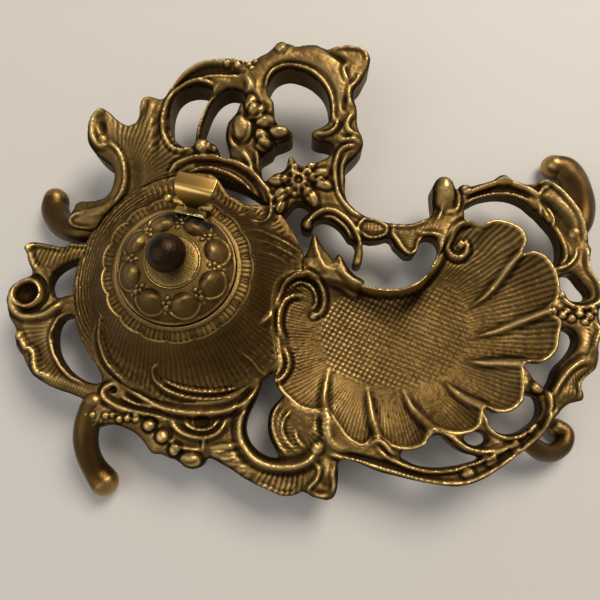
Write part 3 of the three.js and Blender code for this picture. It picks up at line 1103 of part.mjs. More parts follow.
const castings = new THREE.Group();
const roundDish = dishEnvelope();
const roundHousing = housingEnvelope();
const footNames = Object.keys(footPathShares);
const roundFeet = footNames.map((name) => foot(name, fitGap));
const neighbours = [roundDish, roundHousing, ...housingRidges(fitGap), ...roundFeet];
const lowNeighbours = [...neighbours, housingSurround()];
const slab = levelSlab();
const pierced = cutAway(prism(plateOutlineShares), Object.values(openingShares).map(prism));
castings.add(
  piece("tray_shell_dish", geometryOf(shellDish()), palette.castBrass),
  piece("tray_well_housing", geometryOf(wellHousing(roundDish)), palette.castBrass),
  piece("tray_back_gallery", geometryOf(backGallery(neighbours)), palette.castBrass),
  piece("tray_left_scrolls", geometryOf(leftScrolls(lowNeighbours)), palette.castBrass),
  piece("tray_front_scrolls", geometryOf(frontScrolls(lowNeighbours)), palette.castBrass),
  piece("tray_right_scrolls", geometryOf(rightScrolls(neighbours)), palette.castBrass),
);
for (const name of footNames) castings.add(piece(name, geometryOf(footOnDesk(name)), palette.castBrass));

const well = new THREE.Group();
well.position.set(wellX, wellY, 0);
well.add(
  piece("well_collar", collar(), palette.castBrass),
  piece("ink_insert", glassInsert(), palette.clearGlass),
  piece("lid_shell", lidShell(), palette.castBrass),
  piece("finial_seat", finialSeat(), palette.brightBrass),
  piece("finial", finial(), palette.finialBronze),
  piece("finial_stud", finialStud(), palette.brightBrass),
  piece("finial_nut", finialNut(), palette.brightBrass),
);

well.add(
  piece("lid_hinge_leaf", lidHingeLeaf(), palette.darkBrass),
  piece("collar_hinge_leaf", collarHingeLeaf(), palette.darkBrass),
  piece("hinge_pin", hingePin(), palette.brightBrass),
  piece("thumb_tab", thumbTab(), palette.brightBrass),
);
group.add(castings, well);

// The origin is the middle of the footprint, on the desk.
group.updateMatrixWorld(true);
const extent = new THREE.Box3().setFromObject(group, true);
group.position.set(-(extent.min.x + extent.max.x) / 2, -(extent.min.y + extent.max.y) / 2, -extent.min.z);

export default group;
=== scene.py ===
import math

import bpy
import numpy as np
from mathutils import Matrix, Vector


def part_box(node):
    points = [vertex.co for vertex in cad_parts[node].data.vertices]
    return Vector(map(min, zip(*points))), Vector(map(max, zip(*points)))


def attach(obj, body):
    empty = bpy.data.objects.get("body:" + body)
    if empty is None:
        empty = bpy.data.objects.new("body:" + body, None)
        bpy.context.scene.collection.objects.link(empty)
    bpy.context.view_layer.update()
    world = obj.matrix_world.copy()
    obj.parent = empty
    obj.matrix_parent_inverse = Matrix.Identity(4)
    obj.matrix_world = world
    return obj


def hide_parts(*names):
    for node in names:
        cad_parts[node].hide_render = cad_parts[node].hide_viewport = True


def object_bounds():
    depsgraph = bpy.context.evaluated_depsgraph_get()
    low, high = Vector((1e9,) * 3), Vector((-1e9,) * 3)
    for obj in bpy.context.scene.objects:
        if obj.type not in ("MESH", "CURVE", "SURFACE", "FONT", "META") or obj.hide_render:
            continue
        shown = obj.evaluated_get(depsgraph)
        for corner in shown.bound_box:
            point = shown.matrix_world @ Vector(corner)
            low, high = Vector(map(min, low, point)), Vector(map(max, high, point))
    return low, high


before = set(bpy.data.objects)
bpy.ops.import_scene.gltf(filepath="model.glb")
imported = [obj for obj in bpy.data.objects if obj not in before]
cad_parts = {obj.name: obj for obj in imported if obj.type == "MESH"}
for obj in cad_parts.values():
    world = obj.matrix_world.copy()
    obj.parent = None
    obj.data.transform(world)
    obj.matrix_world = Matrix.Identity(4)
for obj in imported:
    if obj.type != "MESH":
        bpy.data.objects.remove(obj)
cadBox = [list(p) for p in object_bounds()]
print("frame loaded")

mm = 0.001

# Places on the tray are shares of it: u along its length from the left, v across its depth from the front.
# Other lengths are in mm, and heights stand above the desk.
tray = {
    "length": 240.0, "depth": 190.0,
    "level": 20.0,                              # top of the front and left border
    "galleryRise": 15.0, "galleryFrom": 0.526,  # how much higher the back stands, and where the climb starts
    "rightRise": 4.0, "rightFrom": 0.625, "rightTo": 0.73,
    "thick": 8.0, "galleryThick": 12.0,
    "rim": 1.5, "dip": 0.7,         # rounding of the pierced plate's rims, and how far it dips between them
    "plainRim": 0.45,               # share of the rounding on the plainer sheet that shows what is worn
    # strength of the grain that casting and chasing leave, and of the wobble in engraved lines
    "cast": 0.26, "worked": 0.9, "wobble": 9.0,
}
well = {"x": 72.792, "y": 88.692, "foot": 47.5, "topRadius": 26.0}

# the finial stands on the well's axis, so it gives the tray's corner in the frame
low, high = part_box("finial")
corner = Vector(((low.x + high.x) / 2 - well["x"] * mm, (low.y + high.y) / 2 - well["y"] * mm, 0))


# curves and smooth steps

def smooth(x, a, b):
    t = np.clip((x - a) / (b - a), 0, 1)
    return t * t * (3 - 2 * t)


def scallop(w, full=0.98):
    # rounded back of a flute, 1 in its middle, low where w comes to -1 or 1
    return np.sqrt(1 - full * w * w)


def wave(x):
    # runs from -1 to 1 over each pitch
    return np.mod(x, 1) * 2 - 1


def bell(x, middle, width):
    return np.exp(-((x - middle) / width) ** 2)


def softMax(a, b, k):
    h = np.clip(0.5 + 0.5 * (a - b) / k, 0, 1)
    return b + (a - b) * h + k * h * (1 - h)


def trayLevel(u, v):
    back = smooth(v, tray["galleryFrom"], 0.99)
    right = smooth(u, tray["rightFrom"], tray["rightTo"])
    return tray["level"] + tray["galleryRise"] * back * (1 - right) + tray["rightRise"] * right


def kernel(n, sigma):
    k = np.exp(-0.5 * (np.arange(-n, n + 1) / sigma) ** 2)
    return k / k.sum()


def blur(a, sigma):
    # one pass along each axis, with the array's own border
    n = max(1, int(3 * sigma))
    k = kernel(n, sigma)
    for axis in (0, 1):
        pad = [(0, 0), (0, 0)]
        pad[axis] = (n, n)
        p = np.pad(a, pad, mode="edge")
        a = sum(k[i] * np.take(p, range(i, i + a.shape[axis]), axis) for i in range(2 * n + 1))
    return a


def maskedBlur(a, mask, sigma):
    return blur(np.where(mask, a, 0), sigma) / np.maximum(blur(mask.astype(float), sigma), 1e-4)


def smoothRow(a, n, sigma, **pad):
    return np.convolve(np.pad(a, n, **pad), kernel(n, sigma), "valid")


def curvePart(a, b, c, d, step, least):
    # the part from b to c of a smooth curve through four points, a point about every step mm
    t1 = max(np.hypot(*(b - a)[:2]), 1e-6) ** 0.5
    t2 = t1 + max(np.hypot(*(c - b)[:2]), 1e-6) ** 0.5
    t3 = t2 + max(np.hypot(*(d - c)[:2]), 1e-6) ** 0.5
    n = max(least, int(np.hypot(*(c - b)[:2]) / step))
    t = (t1 + (t2 - t1) * np.arange(n) / n)[:, None]
    a1 = (t1 - t) / t1 * a + t / t1 * b
    a2 = (t2 - t) / (t2 - t1) * b + (t - t1) / (t2 - t1) * c
    a3 = (t3 - t) / (t3 - t2) * c + (t - t2) / (t3 - t2) * d
    b1 = (t2 - t) / t2 * a1 + t / t2 * a2
    b2 = (t3 - t) / (t3 - t1) * a2 + (t - t1) / (t3 - t1) * a3
    row = (t2 - t) / (t2 - t1) * b1 + (t - t1) / (t2 - t1) * b2
    row[:, 2:] = b[2:] + (c[2:] - b[2:]) * ((t - t1) / (t2 - t1))
    return row


def spline(rows, step=0.6):
    # open curve through rows of u, v and half width over length, in mm
    p = np.array(rows, float) * (tray["length"], tray["depth"], tray["length"])
    q = np.vstack([2 * p[0] - p[1], p, 2 * p[-1] - p[-2]])
    return np.vstack([curvePart(*q[i:i + 4], step, 2) for i in range(len(p) - 1)] + [p[-1:]])


def closedCurve(points, step=0.8):
    p = np.array(points, float) * (tray["length"], tray["depth"])
    n = len(p)
    return np.vstack([curvePart(*(p[(i + k) % n] for k in (-1, 0, 1, 2)), step, 1) for i in range(n)])


# the relief sheet: one height field over the tray's plan

nothing, away = -60.0, -9.0     # height where there is no metal, and reach far from it
sheet = {"grid": 0.4}
sheet["x"] = np.arange(-12, 254, sheet["grid"])
sheet["y"] = np.arange(-7, 196, sheet["grid"])
sheet["px"], sheet["py"] = np.meshgrid(sheet["x"], sheet["y"])
sheet["level"] = trayLevel(sheet["px"] / tray["length"], sheet["py"] / tray["depth"])
everywhere = (slice(None), slice(None))

# cast and hand-cut unevenness: fine grain, and a slow wobble for the engraved lines
random = np.random.default_rng(5)
size = sheet["px"].shape
sheet["grain"] = blur(random.standard_normal(size), 1.1) * tray["cast"]
sheet["grain"] = sheet["grain"] + blur(random.standard_normal(size), 4) * tray["worked"]
sheet["wobble"] = blur(random.standard_normal(size), 7) * tray["wobble"]


def window(x0, x1, y0, y1):
    i0, i1 = np.searchsorted(sheet["x"], (x0, x1))
    j0, j1 = np.searchsorted(sheet["y"], (y0, y1))
    return slice(j0, j1), slice(i0, i1)


def windowRound(x, y, half):
    return window(x - half, x + half, y - half, y + half)


def edgeDrop(e, r):
    # how far a rim rounded by r has dropped at the distance e inside it
    inside = r - np.sqrt(np.maximum(r * r - (r - np.clip(e, 0, r)) ** 2, 0))
    return np.where(e < 0, r - 4 * e, inside)


def lay(win, reach, z, drop, k=0.3):
    # lays a form on the sheet, and widens the casting's outline where it reaches out
    sheet["reach"][win] = np.maximum(sheet["reach"][win], reach)
    sheet["top"][win] = softMax(sheet["top"][win], z - drop, k)
    sheet["plain"][win] = softMax(sheet["plain"][win], z - tray["plainRim"] * drop, k)


def add(win, z):
    sheet["top"][win] += z
    sheet["plain"][win] += z


def clearInside(reach):
    sheet["top"][reach > 0] = nothing
    sheet["plain"][reach > 0] = nothing
    sheet["reach"][reach > 0] = away


def along(rows, px, py):
    # for each point: place along the curve, distance to each side of it, true distance, half width, length
    line = spline(rows)
    tangent = np.gradient(line[:, :2], axis=0)
    tangent /= np.linalg.norm(tangent, axis=1, keepdims=True) + 1e-9
    length = np.concatenate([[0], np.cumsum(np.hypot(*np.diff(line[:, :2], axis=0).T))])
    best = np.full(px.shape, 1e9)
    index = np.zeros(px.shape, int)
    for i, (cx, cy) in enumerate(line[:, :2]):
        d = (px - cx) ** 2 + (py - cy) ** 2
        nearer = d < best
        best[nearer] = d[nearer]
        index[nearer] = i
    dx, dy = px - line[index, 0], py - line[index, 1]
    tx, ty = tangent[index, 0], tangent[index, 1]
    on, across = dx * tx + dy * ty, dx * ty - dy * tx
    past = ((index == 0) & (on < 0)) | ((index == len(line) - 1) & (on > 0))
    half = np.interp(length[index] + on, length, line[:, 2])
    distance = np.where(past, np.sqrt(best), np.abs(across))
    across = np.where(past, np.sign(across + 1e-9) * distance, across)
    return length[index] + np.where(past, 0, on), across, distance, half, length[-1]


def stripOf(points, half):
    # the part of the sheet round a given line, and each point's place on the line, in mm
    rows = [(p[0], p[1], (p[2] if len(p) > 2 else half) / tray["length"]) for p in points]
    line = np.array(rows) * (tray["length"], tray["depth"], tray["length"])
    big = 2.4 * line[:, 2].max() + 1
    low, high = line[:, :2].min(0) - big, line[:, :2].max(0) + big
    win = window(low[0], high[0], low[1], high[1])
    return win, *along(rows, sheet["px"][win], sheet["py"][win])


def endsOf(s, total, half, fade):
    # thins a line out where it ends
    a = smooth(s, -0.2 * half, 3.0 * half) if fade[0] else 1
    b = smooth(total - s, -0.2 * half, 3.0 * half) if fade[1] else 1
    return (0.15 + 0.85 * a) * (0.15 + 0.85 * b)


def crest(points, half=1.3, rise=1.0, dip=0.3, fade=(1, 1)):
    # a rounded ridge with a shallow groove on each side
    win, s, across, distance, halves, total = stripOf(points, half)
    q = distance / halves
    z = rise * bell(q, 0, 0.66) - dip * bell(q, 1.5, 0.42)
    add(win, z * endsOf(s, total, halves, fade) * (q < 2.4))


def channel(points, half=2.0, depth=1.0, fade=(1, 1)):
    # a smooth hollow along a line
    win, s, across, distance, halves, total = stripOf(points, half)
    q = np.clip(distance / halves, 0, 1)
    add(win, -depth * (1 - q * q) ** 2 * endsOf(s, total, halves * 0.7, fade))


def swell(points, half=2.0, rise=1.0, fade=(1, 1)):
    # a broad rounded back along a line
    win, s, across, distance, halves, total = stripOf(points, half)
    q = np.clip(distance / halves, 0, 1)
    add(win, rise * scallop(q, 0.999) * endsOf(s, total, halves * 0.7, fade) * (q < 1))


def flutes(points, half, pitch=1.8, depth=0.5, slant=0.0, bend=0.0):
    # flutes across a band
    win, s, across, distance, halves, total = stripOf(points, half)
    place = s + slant * across + bend * across ** 2
    w = wave(place / pitch + 0.35 * sheet["wobble"][win])
    band = smooth(halves - distance, 0, 0.9) * smooth(s, 0, 1) * smooth(total - s, 0, 1)
    add(win, depth * (scallop(w) - 0.75) * band)


def fan(centre, radii, turn, many, depth, edge=1.5):
    # flutes that spread from a centre, between two radii in mm and two angles in degrees
    x, y = centre[0] * tray["length"], centre[1] * tray["depth"]
    win = windowRound(x, y, radii[1])
    dx, dy = sheet["px"][win] - x, sheet["py"][win] - y
    r = np.hypot(dx, dy)
    a = np.mod(np.degrees(np.arctan2(dy, dx)) - turn[0], 360)
    span = turn[1] - turn[0]
    w = wave(a / span * many + 0.45 * sheet["wobble"][win])
    band = smooth(r, radii[0], radii[0] + edge) * smooth(radii[1] - r, 0, edge) * (a < span)
    band = band * smooth(a, 0, span / many) * smooth(span - a, 0, span / many)
    add(win, depth * (scallop(w) - 0.75) * band)


def bead(u, v, radius, rise, stretch=1.0, turn=0.0, moat=0.35):
    # a rounded grain in a shallow moat
    x, y = u * tray["length"], v * tray["depth"]
    win = windowRound(x, y, 2.2 * radius * stretch)
    dx, dy = sheet["px"][win] - x, sheet["py"][win] - y
    c, t = math.cos(math.radians(turn)), math.sin(math.radians(turn))
    r = np.hypot((dx * c + dy * t) / stretch, dy * c - dx * t) / radius
    add(win, rise * np.sqrt(np.maximum(1 - r * r, 0)) - moat * bell(r, 1.25, 0.22))


def beads(places, rise, moat=0.35):
    # a run of round grains: place and radius of each
    for u, v, radius in places:
        bead(u, v, radius, rise, moat=moat)


def cup(u, v, radius, depth, lip=0.9):
    # a round hollow with a rolled lip
    x, y = u * tray["length"], v * tray["depth"]
    win = windowRound(x, y, 2 * radius)
    r = np.hypot(sheet["px"][win] - x, sheet["py"][win] - y) / radius
    add(win, lip * bell(r, 1.05, 0.16) - depth * np.maximum(1 - (r / 0.95) ** 2, 0) ** 0.8)


def stepTo(turn, length):
    # a step in mm along a direction in degrees, as shares of the tray
    t = math.radians(turn)
    return length * math.cos(t) / tray["length"], length * math.sin(t) / tray["depth"]


def strand(points, section=(0, 0.2, 0.32, 0.36, 0.32, 0.2, 0), tall=0.4):
    # a blunt rounded strand that may reach past the outline; its section is in shares of its half width
    win, s, across, distance, halves, total = stripOf(points, 0)
    q = np.clip(across / halves, -1, 1)
    z = np.interp(q, np.linspace(-1, 1, len(section)), section) * halves * tall
    lay(win, halves - distance, sheet["level"][win] + z, edgeDrop(halves - distance, 1.0))


def outlineField(points):
    # signed distance to a closed outline over the sheet, positive inside, exact near it
    line = closedCurve(points)
    after = np.roll(line, -1, 0)
    insideOf = np.zeros(sheet["px"].shape, bool)
    for j, y in enumerate(sheet["y"]):
        hit = (line[:, 1] > y) != (after[:, 1] > y)
        if hit.any():
            a, b = line[hit], after[hit]
            xs = a[:, 0] + (y - a[:, 1]) / (b[:, 1] - a[:, 1]) * (b[:, 0] - a[:, 0])
            insideOf[j] = (np.searchsorted(np.sort(xs), sheet["x"]) % 2) == 1
    far = 5.0
    d = np.full(sheet["px"].shape, far)
    for a, b in zip(line, after):
        low, high = np.minimum(a, b) - far, np.maximum(a, b) + far
        win = window(low[0], high[0], low[1], high[1])
        px, py = sheet["px"][win], sheet["py"][win]
        e = b - a
        t = np.clip(((px - a[0]) * e[0] + (py - a[1]) * e[1]) / max(e @ e, 1e-9), 0, 1)
        d[win] = np.minimum(d[win], np.hypot(px - a[0] - t * e[0], py - a[1] - t * e[1]))
    return np.where(insideOf, d, -d)


# outline of the casting and its openings

outerOutline = [
    # left border, from the foot in front up to the leaf
    (0.137, 0.226), (0.12, 0.237), (0.1, 0.245), (0.08, 0.255), (0.06, 0.269), (0.049, 0.279),
    (0.043, 0.29), (0.037, 0.303), (0.032, 0.316), (0.024, 0.327), (0.018, 0.338), (0.015, 0.352),
    (0.016, 0.368), (0.012, 0.38), (0.005, 0.392), (-0.001, 0.404), (-0.006, 0.422), (-0.008, 0.44),
    (-0.006, 0.457), (0, 0.47), (0.009, 0.479), (0.021, 0.487), (0.03, 0.497), (0.026, 0.512),
    (0.02, 0.528), (0.018, 0.54), (0.015, 0.55), (0.017, 0.56), (0.025, 0.566), (0.04, 0.566),
    (0.058, 0.561), (0.075, 0.557), (0.085, 0.559), (0.091, 0.566), (0.105, 0.564), (0.125, 0.561),
    (0.14, 0.56),
    # C scroll and ear at the back left
    (0.14, 0.585), (0.128, 0.59), (0.112, 0.593), (0.098, 0.597), (0.088, 0.605), (0.085, 0.616),
    (0.088, 0.628), (0.094, 0.64), (0.097, 0.65), (0.106, 0.657), (0.12, 0.657), (0.135, 0.659),
    (0.148, 0.663), (0.157, 0.672), (0.163, 0.686), (0.166, 0.702), (0.166, 0.719), (0.162, 0.731),
    (0.152, 0.741), (0.14, 0.752), (0.129, 0.766), (0.121, 0.781), (0.118, 0.8), (0.119, 0.82),
    (0.124, 0.84), (0.131, 0.852), (0.14, 0.859), (0.149, 0.855), (0.16, 0.845), (0.17, 0.833),
    (0.18, 0.824), (0.19, 0.82), (0.199, 0.824), (0.207, 0.834), (0.21, 0.846), (0.211, 0.86),
    (0.214, 0.873), (0.22, 0.881), (0.232, 0.882), (0.243, 0.878),
    # arches of the gallery
    (0.25, 0.878), (0.257, 0.888), (0.265, 0.902), (0.275, 0.92), (0.288, 0.938), (0.303, 0.953),
    (0.32, 0.963), (0.34, 0.969), (0.36, 0.971), (0.38, 0.968), (0.398, 0.963), (0.408, 0.967),
    (0.42, 0.977), (0.432, 0.986), (0.44, 0.996), (0.448, 1.007), (0.46, 1.013), (0.472, 1.008),
    (0.48, 1.0), (0.486, 0.998), (0.495, 1.003), (0.508, 1.005), (0.522, 1.004), (0.531, 0.998),
    (0.538, 0.995), (0.548, 0.999), (0.56, 1.002), (0.58, 1.003), (0.597, 1.0), (0.608, 0.99),
    (0.613, 0.975), (0.612, 0.957), (0.605, 0.938), (0.597, 0.918), (0.587, 0.903), (0.583, 0.89),
    (0.584, 0.876), (0.588, 0.861), (0.589, 0.845), (0.589, 0.826), (0.592, 0.81), (0.598, 0.795),
    (0.6, 0.779), (0.594, 0.765), (0.583, 0.75), (0.572, 0.736), (0.568, 0.722), (0.569, 0.705),
    (0.568, 0.69), (0.568, 0.675), (0.572, 0.66), (0.58, 0.647), (0.591, 0.635), (0.605, 0.625),
    (0.622, 0.617), (0.64, 0.611), (0.66, 0.607), (0.684, 0.605), (0.7, 0.611), (0.715, 0.62),
    (0.7195, 0.632), (0.7195, 0.65), (0.7195, 0.67), (0.721, 0.688), (0.728, 0.701), (0.74, 0.707),
    (0.751, 0.701), (0.758, 0.69), (0.762, 0.682),
    # right border
    (0.769, 0.69), (0.78, 0.694), (0.79, 0.692), (0.802, 0.696), (0.816, 0.701), (0.83, 0.706),
    (0.838, 0.714), (0.846, 0.718), (0.854, 0.714), (0.863, 0.706), (0.875, 0.7), (0.888, 0.696),
    (0.9, 0.695), (0.908, 0.702), (0.918, 0.706), (0.929, 0.704), (0.94, 0.695), (0.952, 0.68),
    (0.963, 0.662), (0.972, 0.645), (0.979, 0.625), (0.981, 0.602), (0.981, 0.575), (0.982, 0.558),
    (0.985, 0.545), (0.982, 0.527), (0.98, 0.507), (0.983, 0.49), (0.991, 0.478), (0.997, 0.462),
    (0.998, 0.442), (0.993, 0.424), (0.986, 0.41), (0.984, 0.394), (0.986, 0.375), (0.984, 0.355),
    (0.978, 0.336), (0.976, 0.318), (0.973, 0.302), (0.968, 0.288), (0.958, 0.278), (0.947, 0.267),
    (0.941, 0.256), (0.943, 0.24), (0.942, 0.226), (0.93, 0.221), (0.918, 0.217), (0.908, 0.208),
    (0.898, 0.194), (0.888, 0.18), (0.878, 0.165), (0.868, 0.151),
    # front border with its long leaf and the arch by the foot
    (0.855, 0.139), (0.84, 0.126), (0.825, 0.113), (0.81, 0.1), (0.795, 0.088), (0.78, 0.077),
    (0.765, 0.068), (0.75, 0.062), (0.735, 0.059), (0.72, 0.059), (0.7, 0.062), (0.68, 0.066),
    (0.66, 0.071), (0.64, 0.077), (0.62, 0.083), (0.6, 0.092), (0.585, 0.1), (0.57, 0.106),
    (0.556, 0.108), (0.55, 0.1), (0.55, 0.085), (0.549, 0.065), (0.546, 0.045), (0.54, 0.034),
    (0.531, 0.031), (0.52, 0.034), (0.508, 0.038), (0.5, 0.044), (0.493, 0.047), (0.486, 0.043),
    (0.475, 0.039), (0.462, 0.039), (0.45, 0.044), (0.44, 0.05), (0.43, 0.055), (0.42, 0.06),
    (0.41, 0.067), (0.4, 0.073), (0.391, 0.081), (0.38, 0.09), (0.368, 0.098), (0.355, 0.107),
    (0.346, 0.111), (0.34, 0.109), (0.336, 0.1), (0.328, 0.092), (0.317, 0.09), (0.307, 0.094),
    (0.3, 0.101), (0.291, 0.108), (0.28, 0.112), (0.27, 0.118), (0.262, 0.119), (0.255, 0.12),
    (0.249, 0.127), (0.243, 0.137), (0.236, 0.148), (0.228, 0.157), (0.218, 0.165), (0.205, 0.172),
    (0.19, 0.177), (0.175, 0.177), (0.162, 0.172), (0.15, 0.167), (0.138, 0.169), (0.131, 0.18),
    (0.132, 0.2), (0.137, 0.214),
]
openings = {
    "leftUpper": [(0.124, 0.531), (0.11, 0.528), (0.098, 0.524), (0.085, 0.517), (0.075, 0.508),
                  (0.067, 0.498), (0.062, 0.486), (0.06, 0.47), (0.064, 0.455), (0.072, 0.446),
                  (0.082, 0.443), (0.094, 0.447), (0.107, 0.449), (0.118, 0.453), (0.126, 0.47),
                  (0.128, 0.5)],
    "leftLower": [(0.098, 0.403), (0.09, 0.4), (0.083, 0.39), (0.079, 0.375), (0.079, 0.355),
                  (0.081, 0.338), (0.086, 0.321), (0.094, 0.305), (0.104, 0.29), (0.116, 0.278),
                  (0.13, 0.268), (0.145, 0.262), (0.157, 0.26), (0.165, 0.264), (0.163, 0.277),
                  (0.155, 0.295), (0.147, 0.315), (0.14, 0.335), (0.133, 0.355), (0.128, 0.375),
                  (0.122, 0.392), (0.11, 0.401)],
    "archLeft": [(0.262, 0.835), (0.264, 0.86), (0.272, 0.885), (0.285, 0.9), (0.302, 0.907),
                 (0.32, 0.906), (0.334, 0.9), (0.34, 0.89), (0.332, 0.875), (0.324, 0.855), (0.316, 0.83),
                 (0.31, 0.81), (0.307, 0.79), (0.303, 0.778), (0.292, 0.774), (0.28, 0.779),
                 (0.268, 0.797), (0.263, 0.815)],
    "archMiddle": [(0.316, 0.79), (0.318, 0.81), (0.324, 0.835), (0.332, 0.86), (0.342, 0.88),
                   (0.353, 0.893), (0.366, 0.9), (0.38, 0.899), (0.392, 0.89), (0.395, 0.878),
                   (0.386, 0.868), (0.38, 0.85), (0.37, 0.835), (0.362, 0.815), (0.36, 0.795),
                   (0.363, 0.775), (0.368, 0.76), (0.366, 0.751), (0.351, 0.751), (0.349, 0.763),
                   (0.342, 0.776), (0.33, 0.784)],
    "archRight": [(0.433, 0.9), (0.438, 0.919), (0.446, 0.934), (0.459, 0.944), (0.474, 0.947),
                  (0.488, 0.943), (0.5, 0.937), (0.511, 0.929), (0.521, 0.918), (0.529, 0.907),
                  (0.535, 0.894), (0.539, 0.88), (0.541, 0.863), (0.542, 0.845), (0.539, 0.828),
                  (0.529, 0.817), (0.517, 0.811), (0.51, 0.803), (0.512, 0.794), (0.521, 0.788),
                  (0.534, 0.785), (0.544, 0.78), (0.548, 0.77), (0.544, 0.759), (0.534, 0.75),
                  (0.52, 0.743), (0.509, 0.738), (0.497, 0.732), (0.487, 0.736), (0.48, 0.745),
                  (0.474, 0.752), (0.469, 0.744), (0.466, 0.731), (0.458, 0.723), (0.446, 0.715),
                  (0.437, 0.706), (0.43, 0.702), (0.424, 0.709), (0.422, 0.725), (0.42, 0.74),
                  (0.421, 0.752), (0.431, 0.76), (0.441, 0.768), (0.446, 0.779), (0.46, 0.786),
                  (0.472, 0.793), (0.477, 0.802), (0.47, 0.812), (0.457, 0.82), (0.448, 0.828),
                  (0.443, 0.842), (0.444, 0.857), (0.443, 0.871), (0.436, 0.884)],
    "behindLid": [(0.29, 0.708), (0.305, 0.714), (0.325, 0.715), (0.345, 0.71), (0.362, 0.702),
                  (0.376, 0.69), (0.388, 0.676), (0.394, 0.663), (0.388, 0.656), (0.37, 0.655),
                  (0.345, 0.66), (0.315, 0.665), (0.292, 0.675), (0.284, 0.692)],
    "hook": [(0.437, 0.612), (0.447, 0.624), (0.457, 0.625), (0.465, 0.633), (0.475, 0.648),
             (0.484, 0.658), (0.495, 0.657), (0.504, 0.649), (0.51, 0.64), (0.505, 0.632), (0.496, 0.624),
             (0.491, 0.612), (0.491, 0.6), (0.497, 0.592), (0.506, 0.59), (0.512, 0.597), (0.513, 0.607),
             (0.519, 0.616), (0.53, 0.62), (0.541, 0.617), (0.551, 0.61), (0.56, 0.6), (0.567, 0.588),
             (0.574, 0.575), (0.583, 0.568), (0.587, 0.555), (0.589, 0.54), (0.588, 0.5), (0.57, 0.47),
             (0.5, 0.46), (0.44, 0.5), (0.43, 0.56)],
    "garland": [(0.6, 0.572), (0.612, 0.57), (0.628, 0.572), (0.642, 0.576), (0.649, 0.57), (0.652, 0.56),
                (0.66, 0.548), (0.672, 0.533), (0.684, 0.533), (0.69, 0.545), (0.694, 0.56),
                (0.701, 0.57), (0.712, 0.573), (0.722, 0.567), (0.727, 0.555), (0.728, 0.54),
                (0.72, 0.48), (0.66, 0.45), (0.6, 0.45), (0.575, 0.46), (0.575, 0.5), (0.588, 0.522),
                (0.594, 0.53), (0.597, 0.545)],
    "rightArch": [(0.775, 0.64), (0.787, 0.651), (0.802, 0.661), (0.82, 0.667), (0.84, 0.669),
                  (0.858, 0.666), (0.872, 0.659), (0.884, 0.649), (0.893, 0.637), (0.903, 0.625),
                  (0.912, 0.61), (0.92, 0.597), (0.927, 0.583), (0.932, 0.565), (0.933, 0.545),
                  (0.93, 0.525), (0.924, 0.51), (0.915, 0.502), (0.9, 0.5), (0.86, 0.5), (0.82, 0.56),
                  (0.79, 0.58), (0.775, 0.61)],
    "rightC": [(0.92, 0.475), (0.93, 0.485), (0.94, 0.491), (0.95, 0.49), (0.957, 0.481), (0.963, 0.468),
               (0.97, 0.456), (0.974, 0.445), (0.967, 0.434), (0.953, 0.429), (0.94, 0.432),
               (0.932, 0.443), (0.925, 0.452), (0.912, 0.45), (0.91, 0.465)],
    "rightLower": [(0.912, 0.36), (0.921, 0.37), (0.931, 0.372), (0.941, 0.364), (0.944, 0.351),
                   (0.941, 0.338), (0.934, 0.324), (0.924, 0.31), (0.912, 0.297), (0.904, 0.284),
                   (0.899, 0.269), (0.892, 0.255), (0.885, 0.246), (0.877, 0.25), (0.869, 0.262),
                   (0.86, 0.28), (0.85, 0.3), (0.86, 0.33), (0.89, 0.345)],
    "frontRight": [(0.783, 0.215), (0.785, 0.195), (0.788, 0.177), (0.796, 0.165), (0.81, 0.158),
                   (0.825, 0.158), (0.84, 0.163), (0.851, 0.171), (0.861, 0.18), (0.869, 0.191),
                   (0.873, 0.206), (0.873, 0.221), (0.869, 0.232), (0.859, 0.236), (0.85, 0.24),
                   (0.82, 0.25)],
    "frontOval": [(0.747, 0.152), (0.755, 0.16), (0.768, 0.163), (0.78, 0.16), (0.786, 0.151),
                  (0.784, 0.142), (0.774, 0.136), (0.762, 0.136), (0.752, 0.141)],
    "frontCrescent": [(0.65, 0.122), (0.66, 0.131), (0.672, 0.135), (0.685, 0.14), (0.695, 0.15),
                      (0.705, 0.156), (0.715, 0.155), (0.722, 0.147), (0.73, 0.137), (0.74, 0.127),
                      (0.752, 0.12), (0.765, 0.116), (0.774, 0.111), (0.765, 0.105), (0.75, 0.1),
                      (0.735, 0.096), (0.715, 0.093), (0.695, 0.093), (0.675, 0.097), (0.66, 0.105),
                      (0.65, 0.113)],
    "frontC": [(0.42, 0.238), (0.412, 0.215), (0.404, 0.19), (0.402, 0.168), (0.407, 0.147),
               (0.417, 0.13), (0.43, 0.118), (0.447, 0.111), (0.455, 0.113), (0.449, 0.13),
               (0.442, 0.147), (0.438, 0.165), (0.438, 0.185), (0.441, 0.203), (0.449, 0.218),
               (0.458, 0.23), (0.464, 0.24), (0.464, 0.262), (0.458, 0.28), (0.43, 0.28), (0.426, 0.262)],
}

plate = outlineField(outerOutline)
for points in openings.values():
    plate = np.minimum(plate, -outlineField(points))
sheet["reach"] = plate.copy()
drop = edgeDrop(plate, tray["rim"])
sheet["top"] = np.where(plate > -1, sheet["level"] - drop, nothing)
# the same with less rounded rims, to find what is worn
sheet["plain"] = np.where(plate > -1, sheet["level"] - tray["plainRim"] * drop, nothing)
# the plate dips inside its rims, and swells gently away from them
add(everywhere, np.where(plate > -1, smooth(plate, 0.5, 5) * tray["dip"] - tray["dip"], 0))
print("outline")

# left border

